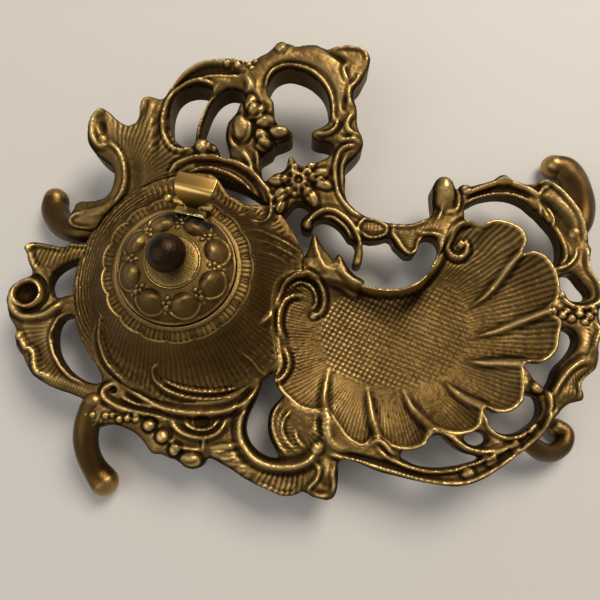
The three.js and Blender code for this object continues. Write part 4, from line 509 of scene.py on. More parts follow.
# leaf at the top with its folds
flutes([(0.03, 0.527), (0.055, 0.531), (0.085, 0.54), (0.14, 0.547)], 4.2, 2.0, 0.75, slant=0.55)
crest([(0.02, 0.556), (0.024, 0.543), (0.027, 0.53), (0.033, 0.516), (0.047, 0.5)], 1.3, 1.1, fade=(0, 1))
crest([(0.022, 0.558), (0.04, 0.561), (0.06, 0.556), (0.08, 0.551)], 0.9, 0.6)
crest([(0.086, 0.556), (0.09, 0.562), (0.105, 0.56), (0.13, 0.558)], 0.9, 0.7)
bead(0.0225, 0.556, 2.0, 1.3, 1.3, 60, moat=0)
# cup in the scroll's eye, with the crescents round it
channel([(0.025, 0.492), (0.042, 0.488), (0.053, 0.475), (0.059, 0.455), (0.057, 0.433), (0.046, 0.419),
         (0.03, 0.413), (0.016, 0.419)], 1.7, 1.7)
cup(0.027, 0.452, 5.2, 4.4, lip=1.1)
crest([(0.002, 0.466), (0.0, 0.445), (0.004, 0.423), (0.015, 0.408), (0.03, 0.4), (0.05, 0.401),
       (0.065, 0.407), (0.078, 0.42), (0.088, 0.437)], 1.5, 1.3, dip=0.5)
crest([(0.058, 0.5), (0.064, 0.488), (0.069, 0.47), (0.074, 0.455)], 1.0, 0.5)
swell([(0.088, 0.437), (0.1, 0.443), (0.118, 0.446)], 2.0, 0.7)
# hollow limb with flutes across it and a wavy lip
channel([(0.05, 0.39, 5.2), (0.05, 0.355, 5.8), (0.062, 0.318, 5.2), (0.083, 0.289, 3.6),
         (0.105, 0.272, 2.2)], 5, 1.7)
flutes([(0.05, 0.392, 5.2), (0.049, 0.355, 5.8), (0.06, 0.318, 5.4), (0.08, 0.289, 4),
        (0.1, 0.272, 2.6)], 5, 1.75, 0.5, slant=-0.12)
crest([(0.018, 0.372), (0.022, 0.36), (0.027, 0.351), (0.035, 0.336), (0.045, 0.33), (0.05, 0.318),
       (0.052, 0.305), (0.055, 0.292), (0.06, 0.283), (0.077, 0.275)], 1.3, 1.2)
bead(0.0225, 0.361, 1.9, 1.2, moat=0)
crest([(0.1, 0.408), (0.086, 0.398), (0.079, 0.383), (0.075, 0.36), (0.079, 0.335), (0.087, 0.312),
       (0.102, 0.287), (0.118, 0.272), (0.135, 0.262)], 1.0, 0.9)
flutes([(0.082, 0.267), (0.1, 0.258), (0.12, 0.249), (0.14, 0.24)], 1.9, 1.25, 0.6)
print("left border")


# gallery at the back

# ear and the C below it
crest([(0.14, 0.85), (0.131, 0.838), (0.127, 0.815), (0.13, 0.79), (0.143, 0.773),
       (0.158, 0.778)], 1.3, 1.1, fade=(0, 1))
channel([(0.145, 0.846, 2.4), (0.145, 0.822, 3.0), (0.152, 0.795, 2.2)], 2.6, 2.4)
bead(0.146, 0.787, 1.9, 0.9, moat=0)
swell([(0.155, 0.765), (0.168, 0.735), (0.173, 0.7), (0.166, 0.668), (0.146, 0.645),
       (0.115, 0.64)], 4.2, 1.1)
crest([(0.158, 0.782), (0.175, 0.762), (0.184, 0.737), (0.187, 0.705), (0.182, 0.675),
       (0.17, 0.65)], 1.0, 0.9)
channel([(0.2, 0.77), (0.203, 0.73), (0.202, 0.69), (0.196, 0.66)], 4.5, 1.1)
fan((0.176, 0.672), (9, 41), (-22, 97), 27, 0.62, edge=3)
crest([(0.2, 0.835), (0.213, 0.856), (0.217, 0.875), (0.232, 0.879)], 1.4, 1.0)
# round end of the leaf by the foot
swell([(0.095, 0.62), (0.12, 0.615), (0.15, 0.622), (0.175, 0.64)], 4.4, 1.2)
crest([(0.112, 0.63), (0.098, 0.626), (0.09, 0.617), (0.091, 0.607), (0.1, 0.6), (0.114, 0.596),
       (0.13, 0.594)], 0.9, 0.8)
# left arch: outer rim, long hollow, inner lip with its curl, bar and ball
crest([(0.252, 0.882), (0.262, 0.897), (0.276, 0.921), (0.293, 0.942), (0.315, 0.957), (0.34, 0.962),
       (0.365, 0.962), (0.39, 0.957)], 1.4, 1.1)
channel([(0.268, 0.897, 1.5), (0.283, 0.915, 2.2), (0.305, 0.932, 3.0), (0.335, 0.942, 3.6),
         (0.365, 0.94, 3.2), (0.39, 0.935, 1.6)], 3, 2.3)
crest([(0.306, 0.918), (0.33, 0.927), (0.355, 0.928), (0.38, 0.925)], 0.8, 0.5)
crest([(0.3, 0.772), (0.287, 0.765), (0.272, 0.767), (0.261, 0.779), (0.254, 0.797), (0.251, 0.815),
       (0.252, 0.835), (0.255, 0.855), (0.262, 0.874), (0.272, 0.893), (0.286, 0.908), (0.303, 0.916),
       (0.322, 0.915), (0.34, 0.905)], 1.2, 1.3, dip=0.4)
channel([(0.236, 0.75), (0.24, 0.79), (0.24, 0.83), (0.243, 0.86)], 2.6, 1.1)
crest([(0.346, 0.905), (0.334, 0.885), (0.325, 0.86), (0.318, 0.835), (0.314, 0.81),
       (0.312, 0.79)], 1.1, 1.0)
bead(0.321, 0.774, 3.4, 2.4)
bead(0.337, 0.771, 2.1, 1.2)
crest([(0.39, 0.93), (0.4, 0.915), (0.402, 0.9), (0.4, 0.885)], 1.4, 0.8)
beads([(0.362, 0.955, 1.3), (0.372, 0.962, 1.2), (0.38, 0.953, 1.4), (0.39, 0.963, 1.1),
       (0.4, 0.955, 1.4), (0.41, 0.963, 1.3), (0.405, 0.945, 1.2)], 0.7)
# C scroll behind the lid
channel([(0.3, 0.735, 1.6), (0.33, 0.738, 2.0), (0.36, 0.731, 2.4), (0.39, 0.712, 2.6),
         (0.412, 0.685, 2.4), (0.422, 0.655, 2.0), (0.422, 0.63, 1.5)], 2.2, 1.5)
crest([(0.262, 0.71), (0.272, 0.73), (0.286, 0.741), (0.305, 0.748), (0.325, 0.751), (0.345, 0.75),
       (0.365, 0.744), (0.385, 0.734), (0.405, 0.719), (0.423, 0.698), (0.436, 0.672), (0.44, 0.648),
       (0.437, 0.628), (0.428, 0.613), (0.415, 0.605), (0.402, 0.61), (0.4, 0.62)], 1.2, 1.3, dip=0.4)
crest([(0.3, 0.722), (0.325, 0.727), (0.35, 0.722), (0.372, 0.711), (0.391, 0.695), (0.404, 0.676),
       (0.41, 0.657), (0.406, 0.64), (0.396, 0.634), (0.388, 0.64)], 1.0, 1.1, dip=0.4)
crest([(0.33, 0.733), (0.36, 0.728), (0.388, 0.71), (0.408, 0.686), (0.42, 0.655)], 0.7, 0.5, dip=0.15)
# bud on its stem, with leaves round it
swell([(0.41, 0.93), (0.408, 0.9), (0.4, 0.87)], 4.0, 0.8)
swell([(0.405, 0.87, 5), (0.402, 0.83, 7.5), (0.406, 0.79, 6.5), (0.4, 0.76, 4)], 6, 1.4)
bead(0.386, 0.812, 4.4, 1.8, 1.15, 100, moat=0.6)
crest([(0.372, 0.84), (0.366, 0.815), (0.37, 0.785), (0.381, 0.767)], 1.2, 1.1)
crest([(0.4, 0.83), (0.405, 0.81), (0.4, 0.79), (0.388, 0.778)], 0.9, 0.9)
for u, v, turn in ((0.413, 0.845, 35), (0.43, 0.826, 10), (0.426, 0.79, -50), (0.452, 0.806, 5),
                   (0.43, 0.772, -15), (0.405, 0.862, 100)):
    bead(u, v, 2.7, 1.4, 1.5, turn, moat=0.7)
    bead(u, v, 1.1, 0.6, 2.0, turn, moat=0)
crest([(0.385, 0.765), (0.397, 0.75), (0.405, 0.73), (0.408, 0.71)], 1.3, 1.2)
crest([(0.412, 0.77), (0.416, 0.75), (0.416, 0.725)], 1.0, 0.8)
# right arch: smooth outer back, thin inner lip
swell([(0.435, 0.965, 3.4), (0.465, 0.982, 4.4), (0.505, 0.978, 4.6), (0.54, 0.955, 4.2),
       (0.56, 0.915, 3.4), (0.568, 0.87, 2.8)], 4, 1.0)
crest([(0.43, 0.895), (0.433, 0.92), (0.442, 0.939), (0.458, 0.95), (0.476, 0.952), (0.495, 0.947),
       (0.512, 0.937), (0.526, 0.921), (0.537, 0.902), (0.544, 0.88), (0.547, 0.858), (0.547, 0.838),
       (0.552, 0.822)], 1.0, 0.9)
crest([(0.556, 0.83), (0.553, 0.815), (0.543, 0.804), (0.528, 0.8), (0.518, 0.806)], 1.0, 1.1, dip=0.4)
channel([(0.563, 0.836), (0.557, 0.812), (0.545, 0.796)], 1.8, 0.9)
bead(0.455, 1.0, 2.4, 0.9, 1.4, 90)
channel([(0.536, 0.985, 1.8), (0.555, 0.972, 2.8), (0.575, 0.955, 2.2)], 2.4, 1.7)
crest([(0.545, 0.992), (0.56, 0.996), (0.58, 0.997), (0.6, 0.99), (0.607, 0.972),
       (0.605, 0.955)], 1.0, 0.9)
crest([(0.573, 0.96), (0.566, 0.94), (0.57, 0.92), (0.578, 0.905)], 1.2, 0.9)
crest([(0.596, 0.935), (0.588, 0.915), (0.577, 0.897), (0.575, 0.875), (0.582, 0.855)], 1.1, 0.8)
channel([(0.572, 0.885), (0.566, 0.862), (0.57, 0.84)], 1.7, 1.0)
crest([(0.583, 0.845), (0.573, 0.828), (0.572, 0.812), (0.582, 0.8), (0.594, 0.796)], 1.2, 1.1)
crest([(0.553, 0.79), (0.567, 0.786), (0.583, 0.788), (0.594, 0.78)], 1.2, 1.0, dip=0.5)
crest([(0.585, 0.776), (0.57, 0.772), (0.558, 0.762), (0.552, 0.742), (0.55, 0.72), (0.552, 0.697),
       (0.557, 0.672), (0.568, 0.65), (0.583, 0.632), (0.6, 0.62)], 1.1, 1.0, dip=0.4)
crest([(0.573, 0.757), (0.564, 0.735), (0.563, 0.71), (0.564, 0.685), (0.571, 0.662)], 1.0, 0.6)
# rose: pointed leaves with their veins, curled petals, rolled heart
for u, v, turn, size in ((0.474, 0.736, 105, 2.6), (0.45, 0.703, 172, 2.7), (0.458, 0.672, 215, 2.6),
                         (0.453, 0.643, 245, 2.4), (0.508, 0.665, -60, 2.6), (0.522, 0.712, 20, 2.5),
                         (0.505, 0.73, 60, 2.2), (0.53, 0.692, -20, 2.2)):
    bead(u, v, size, 1.3, 1.75, turn, moat=0.5)
    du, dv = stepTo(turn, 3.6)
    crest([(u - du, v - dv), (u + du, v + dv)], 0.55, 0.5, dip=0.15)
rose = (0.487, 0.7)
for turn in range(20, 380, 72):
    du, dv = stepTo(turn, 4.3)
    bead(rose[0] + du, rose[1] + dv, 2.6, 1.2, 1.25, turn + 90, moat=0.5)
bead(*rose, 3.6, 1.4, moat=0.6)
cup(*rose, 2.0, 1.0)
# hook under the rose
crest([(0.5, 0.598), (0.507, 0.615), (0.519, 0.63), (0.535, 0.637), (0.551, 0.633), (0.566, 0.621),
       (0.579, 0.604), (0.589, 0.584), (0.595, 0.56), (0.597, 0.54)], 1.3, 1.3, dip=0.4)
crest([(0.527, 0.622), (0.545, 0.622), (0.558, 0.612), (0.57, 0.597), (0.578, 0.578)], 0.8, 0.7)
crest([(0.541, 0.606), (0.552, 0.603), (0.562, 0.592)], 0.7, 0.6)
bead(0.502, 0.604, 2.4, 1.4, moat=0)
# hatched cartouche and the garland's leaf
crest([(0.592, 0.605), (0.602, 0.617), (0.617, 0.617), (0.632, 0.609), (0.64, 0.597), (0.637, 0.584),
       (0.624, 0.577), (0.61, 0.576), (0.598, 0.584), (0.591, 0.596),
       (0.593, 0.607)], 0.9, 0.9, fade=(0, 0))
flutes([(0.6, 0.597), (0.632, 0.595)], 2.6, 1.5, 0.5)
flutes([(0.615, 0.582), (0.615, 0.612)], 3.6, 1.5, 0.4)
flutes([(0.655, 0.602, 1.6), (0.66, 0.585, 3.2), (0.67, 0.565, 4.4),
        (0.678, 0.545, 2.4)], 4, 1.6, 0.55, slant=1.1)
crest([(0.652, 0.601), (0.65, 0.585), (0.658, 0.567), (0.667, 0.547), (0.678, 0.537), (0.688, 0.545),
       (0.692, 0.562), (0.7, 0.575)], 1.0, 0.9)
crest([(0.64, 0.604), (0.66, 0.601), (0.68, 0.6), (0.695, 0.605), (0.71, 0.616)], 0.9, 0.7)
flutes([(0.69, 0.593), (0.712, 0.59), (0.73, 0.59)], 3, 1.5, 0.5, slant=0.5)
crest([(0.692, 0.582), (0.705, 0.58), (0.72, 0.578), (0.733, 0.57)], 0.9, 0.8)
print("gallery")


# right border

# knob drawn out into the scroll below it
swell([(0.739, 0.69, 4.2), (0.738, 0.672, 4.8), (0.739, 0.65, 4.0),
       (0.744, 0.632, 2.4)], 4.4, 4.4, fade=(0, 1))
crest([(0.752, 0.702), (0.761, 0.682), (0.764, 0.66), (0.762, 0.64), (0.754, 0.625)], 1.1, 1.2, dip=0.5)
crest([(0.722, 0.605), (0.73, 0.622), (0.735, 0.64)], 1.0, 0.8)
bead(0.777, 0.683, 2.4, 1.1)
# arch: outer rim with its knuckles, deep hollow, inner rim
crest([(0.772, 0.668), (0.79, 0.678), (0.805, 0.685), (0.822, 0.693), (0.845, 0.703), (0.857, 0.699),
       (0.872, 0.69), (0.888, 0.682), (0.898, 0.672), (0.904, 0.66)], 1.3, 1.3, dip=0.4)
channel([(0.782, 0.662, 1.2), (0.8, 0.673, 1.8), (0.825, 0.682, 2.4), (0.85, 0.684, 2.6),
         (0.875, 0.675, 2.4), (0.893, 0.662, 1.6)], 2.2, 1.9)
crest([(0.776, 0.647), (0.79, 0.659), (0.808, 0.667), (0.83, 0.672), (0.852, 0.671), (0.87, 0.665),
       (0.885, 0.653)], 1.0, 1.0)
bead(0.846, 0.704, 2.6, 1.2, 1.3, 10, moat=0)
crest([(0.892, 0.69), (0.903, 0.697), (0.915, 0.698), (0.93, 0.692), (0.944, 0.677), (0.957, 0.655),
       (0.967, 0.633), (0.974, 0.607), (0.976, 0.58), (0.977, 0.557)], 1.3, 1.4, dip=0.4)
crest([(0.903, 0.662), (0.91, 0.68), (0.922, 0.685)], 1.1, 0.9)
bead(0.916, 0.692, 2.4, 1.1, moat=0)
channel([(0.905, 0.66, 2.0), (0.925, 0.64, 4.2), (0.945, 0.605, 5.2), (0.955, 0.57, 4.6),
         (0.958, 0.54, 3.0)], 4.6, 3.2)
crest([(0.903, 0.64), (0.905, 0.615), (0.917, 0.59)], 0.9, 1.1)
crest([(0.917, 0.645), (0.927, 0.62), (0.922, 0.592)], 0.9, 1.1)
crest([(0.96, 0.548), (0.953, 0.525), (0.943, 0.51), (0.93, 0.502), (0.915, 0.5)], 1.0, 1.0)
crest([(0.937, 0.56), (0.94, 0.54), (0.937, 0.52), (0.928, 0.508)], 0.9, 0.8)
# small C with its ball, leaves and grains below
crest([(0.978, 0.55), (0.975, 0.52), (0.976, 0.497), (0.984, 0.48), (0.99, 0.46), (0.99, 0.44),
       (0.983, 0.425), (0.97, 0.418), (0.955, 0.415), (0.94, 0.419), (0.93, 0.43),
       (0.925, 0.443)], 1.2, 1.2, dip=0.4)
bead(0.925, 0.446, 2.0, 1.2, moat=0)
beads([(0.906, 0.407, 1.8), (0.922, 0.399, 1.7), (0.936, 0.392, 1.7), (0.95, 0.403, 1.9),
       (0.965, 0.397, 1.8), (0.975, 0.409, 1.6), (0.957, 0.385, 1.5), (0.93, 0.408, 1.4)], 1.0, 0.5)
flutes([(0.968, 0.38), (0.966, 0.355), (0.963, 0.335)], 2.8, 1.7, 0.6, slant=0.4)
crest([(0.977, 0.385), (0.98, 0.365), (0.973, 0.345), (0.97, 0.325)], 1.0, 0.9)
swell([(0.95, 0.372), (0.952, 0.35), (0.948, 0.33), (0.938, 0.31)], 2.4, 1.1)
# fluted wing over the front foot
flutes([(0.905, 0.24, 2), (0.925, 0.25, 4.2), (0.945, 0.275, 4.2),
        (0.955, 0.3, 2.4)], 4, 1.9, 0.6, slant=0.9)
crest([(0.888, 0.226), (0.896, 0.243), (0.908, 0.265), (0.92, 0.283), (0.932, 0.295), (0.945, 0.303),
       (0.96, 0.305)], 1.5, 1.5, dip=0.4)
crest([(0.935, 0.226), (0.938, 0.24), (0.937, 0.253), (0.945, 0.265), (0.957, 0.276),
       (0.965, 0.288)], 0.9, 0.8)
print("right border")


# front border

# limb over the left foot with its scroll, grains and flutes
swell([(0.14, 0.21), (0.165, 0.2), (0.195, 0.19), (0.225, 0.178)], 3.6, 0.8)
flutes([(0.136, 0.215), (0.146, 0.195), (0.165, 0.184), (0.185, 0.181)], 4.2, 1.7, 0.5, slant=0.3)
crest([(0.187, 0.258), (0.176, 0.254), (0.17, 0.244), (0.172, 0.233), (0.182, 0.222), (0.198, 0.212),
       (0.218, 0.204), (0.24, 0.199), (0.262, 0.193), (0.276, 0.184)], 1.4, 1.5, dip=0.5)
crest([(0.199, 0.24), (0.207, 0.23), (0.22, 0.221), (0.24, 0.213), (0.258, 0.206)], 1.1, 1.2, dip=0.4)
bead(0.186, 0.247, 1.5, -1.6, moat=0)
beads([(0.146, 0.197, 1.1), (0.156, 0.196, 1.2), (0.178, 0.194, 1.3), (0.188, 0.196, 1.2),
       (0.2, 0.187, 1.4), (0.213, 0.19, 1.5), (0.226, 0.19, 1.7)], 0.9, 0.4)
beads([(0.248, 0.176, 2.4), (0.27, 0.154, 2.5), (0.291, 0.128, 2.3)], 1.8, 0.7)
bead(0.316, 0.109, 2.6, 1.6, 1.6, -12, moat=0.5)
crest([(0.3, 0.102), (0.31, 0.096), (0.325, 0.096), (0.336, 0.107)], 0.9, 0.7)
# outer arc round the well
crest([(0.21, 0.259), (0.222, 0.243), (0.24, 0.227), (0.262, 0.213), (0.29, 0.203), (0.32, 0.199),
       (0.35, 0.2), (0.38, 0.208), (0.405, 0.227), (0.422, 0.252)], 1.7, 1.7, dip=0.6)
# medallion with its dark eye
channel([(0.29, 0.178), (0.325, 0.176), (0.365, 0.18)], 7, 1.2, fade=(0, 0))
crest([(0.283, 0.191), (0.286, 0.178), (0.296, 0.165), (0.311, 0.156), (0.33, 0.151), (0.348, 0.154),
       (0.36, 0.163), (0.367, 0.176), (0.369, 0.19)], 1.3, 1.5, dip=0.3)
crest([(0.303, 0.19), (0.308, 0.177), (0.32, 0.168), (0.336, 0.166), (0.35, 0.173),
       (0.357, 0.186)], 1.0, 1.2, dip=0.3)
bead(0.331, 0.184, 2.4, -1.5, 1.4, 0, moat=0)
crest([(0.338, 0.15), (0.336, 0.138), (0.337, 0.125)], 0.9, 1.2)
crest([(0.277, 0.15), (0.288, 0.14), (0.303, 0.131), (0.32, 0.127), (0.335, 0.127)], 1.2, 1.2)
# fingers of the leaf, fluted ground beside the C
flutes([(0.372, 0.2), (0.383, 0.18), (0.38, 0.158)], 2.8, 1.3, 0.4)
fingers = [
    [(0.344, 0.13), (0.362, 0.131), (0.392, 0.137)],
    [(0.345, 0.122), (0.37, 0.116), (0.395, 0.12)],
    [(0.362, 0.108), (0.38, 0.104), (0.4, 0.108)],
    [(0.38, 0.096), (0.394, 0.091), (0.408, 0.096)],
    [(0.396, 0.085), (0.405, 0.08), (0.414, 0.086)],
]
for rows in fingers:
    swell([(u, v, half) for (u, v), half in zip(rows, (1.0, 1.9, 1.3))], rise=1.3)
# big C in front, with its ball
crest([(0.424, 0.243), (0.413, 0.23), (0.403, 0.212), (0.396, 0.192), (0.393, 0.17), (0.396, 0.148),
       (0.405, 0.127), (0.418, 0.11), (0.435, 0.1), (0.455, 0.095), (0.478, 0.095), (0.497, 0.102),
       (0.51, 0.115), (0.517, 0.13)], 2.1, 1.9, dip=0.6)
bead(0.517, 0.131, 2.5, 1.2, moat=0)
# shell inside the C
swell([(0.455, 0.21), (0.452, 0.185), (0.458, 0.155), (0.47, 0.13)], 2.2, 0.8)
flutes([(0.46, 0.205, 2), (0.458, 0.18, 4), (0.467, 0.15, 5),
        (0.485, 0.125, 3)], 4, 1.8, 0.6, slant=0.9, bend=0.08)
crest([(0.457, 0.22), (0.447, 0.198), (0.445, 0.175), (0.45, 0.15), (0.46, 0.13),
       (0.47, 0.117)], 0.9, 0.9)
crest([(0.475, 0.205), (0.464, 0.187), (0.462, 0.165), (0.47, 0.143), (0.483, 0.126)], 0.8, 0.8)
crest([(0.48, 0.165), (0.487, 0.145), (0.497, 0.13)], 0.8, 0.8)
fan((0.485, 0.185), (5, 13), (-80, 10), 9, 0.6, edge=1.5)
swell([(0.505, 0.15), (0.515, 0.165), (0.52, 0.185)], 2.2, 0.9)
crest([(0.534, 0.21), (0.532, 0.18), (0.535, 0.153), (0.55, 0.13), (0.57, 0.12)], 3.2, 1.7, dip=0.3)
channel([(0.522, 0.2), (0.52, 0.175), (0.522, 0.15)], 1.6, 1.3)
# front leaf with its upright folds, and the smooth corner leaf
channel([(0.42, 0.083), (0.45, 0.072), (0.48, 0.072), (0.505, 0.083)], 3.8, 1.0)
flutes([(0.418, 0.077, 2.4), (0.445, 0.064, 4.6), (0.475, 0.06, 5),
        (0.502, 0.066, 3.6)], 4.4, 2.1, 0.8, slant=0.2)
crest([(0.42, 0.063), (0.44, 0.053), (0.46, 0.043), (0.477, 0.043), (0.49, 0.05)], 0.9, 0.5)
channel([(0.522, 0.075), (0.53, 0.06), (0.535, 0.045)], 2.6, 1.2)
crest([(0.51, 0.105), (0.52, 0.088), (0.515, 0.07), (0.503, 0.052), (0.505, 0.042)], 1.0, 0.9)
crest([(0.545, 0.1), (0.542, 0.08), (0.543, 0.06), (0.54, 0.042)], 1.0, 0.9)
crest([(0.505, 0.044), (0.52, 0.038), (0.536, 0.038)], 1.1, 0.9)
swell([(0.53, 0.1), (0.534, 0.085), (0.532, 0.07)], 1.8, 0.9)
# run under the dish: outer rim, grains in the channel, inner rim
crest([(0.535, 0.12), (0.555, 0.112), (0.58, 0.107), (0.605, 0.096), (0.635, 0.085), (0.665, 0.075),
       (0.695, 0.067), (0.72, 0.064), (0.745, 0.066), (0.768, 0.075), (0.79, 0.09), (0.812, 0.107),
       (0.835, 0.127), (0.855, 0.146), (0.872, 0.167), (0.886, 0.19), (0.9, 0.21)], 1.0, 1.0, dip=0.3)
channel([(0.56, 0.12, 1.6), (0.6, 0.11, 1.8), (0.64, 0.095, 1.8), (0.68, 0.08, 2.0), (0.72, 0.077, 2.2),
         (0.755, 0.084, 2.4), (0.79, 0.104, 2.4), (0.825, 0.13, 2.4), (0.857, 0.16, 2.2),
         (0.876, 0.19, 1.6)], 2, 1.1)
crest([(0.618, 0.118), (0.64, 0.105), (0.655, 0.096), (0.672, 0.09), (0.692, 0.086), (0.712, 0.087),
       (0.732, 0.091), (0.75, 0.098), (0.77, 0.107), (0.79, 0.117), (0.808, 0.128),
       (0.822, 0.138)], 1.0, 1.1, dip=0.3)
for u, v, turn in ((0.75, 0.083, 15), (0.788, 0.106, 35), (0.826, 0.134, 42), (0.858, 0.168, 50)):
    bead(u, v, 1.9, 1.2, 1.35, turn, moat=0.4)
# strands that part from the border under the dish
crest([(0.605, 0.14), (0.613, 0.146), (0.623, 0.14), (0.632, 0.126), (0.643, 0.112)], 1.2, 1.3, dip=0.4)
crest([(0.612, 0.128), (0.622, 0.12), (0.636, 0.106)], 0.8, 0.8)
crest([(0.698, 0.167), (0.712, 0.163), (0.726, 0.153), (0.74, 0.139), (0.755, 0.129), (0.772, 0.124),
       (0.79, 0.125), (0.812, 0.133), (0.83, 0.14)], 1.1, 1.1, dip=0.3)
crest([(0.715, 0.15), (0.728, 0.14), (0.744, 0.128), (0.762, 0.119), (0.785, 0.116)], 0.7, 0.7, dip=0.2)
crest([(0.785, 0.2), (0.785, 0.182), (0.791, 0.166), (0.803, 0.155), (0.82, 0.15), (0.837, 0.155),
       (0.852, 0.165)], 1.1, 1.1, dip=0.3)
# edge that climbs to the right, with two fine lines and a ball
crest([(0.879, 0.252), (0.886, 0.235), (0.887, 0.21), (0.88, 0.185), (0.868, 0.163),
       (0.852, 0.146)], 1.1, 1.1)
crest([(0.868, 0.268), (0.857, 0.285)], 1.1, 0.8)
bead(0.87, 0.25, 2.5, 1.5)
print("front border")


# shell dish, laid over whatever runs under it

dish = {
    "centre": (0.66, 0.355), "floor": 9.5, "wall": 2.8, "lip": 0.5,
    "part": (100, 228, 18, 122),        # of the sheet, in mm: left, right, front, back
    # fine lines: how many in a full turn, depth, and the point they spread from, in mm from the centre
    "lines": 176, "lineDepth": 0.66, "lineCentre": (-6, 2),
    # crossed lines in the middle: pitch, height and directions in degrees
    "hatchPitch": 1.95, "hatchHeight": 0.7, "hatchTurns": (-24, 58),
    # ribs between the lobes: half widths from the middle out, height, and the hollow beside them
    "ribHalves": (1.2, 1.6, 1.9, 1.7), "ribHeight": 1.2, "ribHollow": 0.3,
}
dishRim = [
    (0.905, 0.41), (0.919, 0.435), (0.924, 0.468), (0.919, 0.5), (0.905, 0.529), (0.884, 0.54),
    (0.868, 0.536), (0.877, 0.565), (0.868, 0.592), (0.846, 0.607), (0.822, 0.611), (0.8, 0.6),
    (0.782, 0.606), (0.762, 0.604), (0.745, 0.582), (0.736, 0.56), (0.724, 0.53), (0.71, 0.5),
    (0.69, 0.475), (0.66, 0.461), (0.63, 0.461), (0.603, 0.467), (0.582, 0.479), (0.567, 0.498),
    (0.552, 0.52), (0.532, 0.51), (0.505, 0.5), (0.478, 0.492), (0.458, 0.47), (0.45, 0.44),
    (0.447, 0.405), (0.447, 0.37), (0.452, 0.335), (0.455, 0.3), (0.448, 0.275), (0.455, 0.248),
    (0.472, 0.225), (0.49, 0.208), (0.512, 0.202), (0.53, 0.203), (0.545, 0.18), (0.562, 0.15),
    (0.588, 0.132), (0.614, 0.15), (0.636, 0.131), (0.662, 0.126), (0.686, 0.136), (0.7, 0.164),
    (0.724, 0.158), (0.75, 0.157), (0.772, 0.17), (0.786, 0.21), (0.805, 0.2), (0.826, 0.203),
    (0.844, 0.222), (0.85, 0.25), (0.856, 0.3), (0.886, 0.303), (0.907, 0.325), (0.914, 0.356),
    (0.92, 0.386),
]
dishRibs = [
    [(0.538, 0.29), (0.532, 0.255), (0.529, 0.225), (0.531, 0.206)],
    [(0.603, 0.253), (0.606, 0.22), (0.609, 0.185), (0.614, 0.156)],
    [(0.663, 0.247), (0.673, 0.215), (0.688, 0.187), (0.7, 0.168)],
    [(0.728, 0.272), (0.746, 0.245), (0.764, 0.226), (0.784, 0.213)],
    [(0.765, 0.312), (0.795, 0.305), (0.825, 0.304), (0.853, 0.302)],
    [(0.783, 0.362), (0.82, 0.372), (0.86, 0.39), (0.9, 0.409)],
    [(0.78, 0.425), (0.81, 0.452), (0.838, 0.492), (0.862, 0.533)],
]
hatchedField = [
    (0.54, 0.29), (0.6, 0.26), (0.66, 0.25), (0.73, 0.27), (0.765, 0.31), (0.785, 0.37), (0.78, 0.43),
    (0.76, 0.48), (0.72, 0.47), (0.65, 0.45), (0.56, 0.45), (0.53, 0.42), (0.52, 0.36), (0.535, 0.31),
]


def outlineReach(points, angle):
    # distance from the dish's centre to a star-shaped outline, along each angle
    p = np.array(points, float)
    x, y = (p[:, 0] - dish["centre"][0]) * tray["length"], (p[:, 1] - dish["centre"][1]) * tray["depth"]
    a = np.arctan2(y, x)
    order = np.argsort(a)
    a, r = a[order], np.hypot(x, y)[order]
    a = np.concatenate([a[-1:] - 2 * math.pi, a, a[:1] + 2 * math.pi])
    r = np.concatenate([r[-1:], r, r[:1]])
    i = np.clip(np.searchsorted(a, angle) - 1, 0, len(a) - 2)
    span, t = a[i + 1] - a[i], angle - a[i]
    return r[i] * r[i + 1] * np.sin(span) / (r[i] * np.sin(t) + r[i + 1] * np.sin(span - t))


def calmRim(angle):
    # the rim without its lobes, for the middle of the dish
    everyTurn = np.radians(np.arange(-180, 181, 1.0))
    calm = outlineReach(dish["rim"], everyTurn[:-1] + 1e-4)
    reach = 45      # degrees to each side
    calm = sum(w * np.roll(calm, k) for k, w in zip(range(-reach, reach + 1), kernel(reach, 16)))
    return np.interp(angle, everyTurn, np.append(calm, calm[0]))


def bowl(angle, radius, rim, rimReach):
    # calm in the middle, true to the lobes near the rim
    out = smooth(radius / rim, 0.5, 0.98)
    s = np.clip(radius / (calmRim(angle) * (1 - out) + rim * out), 0, 1.04)
    rimU = dish["centre"][0] + rim * np.cos(angle) / tray["length"]
    rimV = dish["centre"][1] + rim * np.sin(angle) / tray["depth"]
    z = dish["floor"] + (trayLevel(rimU, rimV) - dish["floor"]) * (0.22 * s + 0.78 * s ** 3)
    return np.where(rimReach > 0, maskedBlur(z, rimReach > -1, 3.0), z)


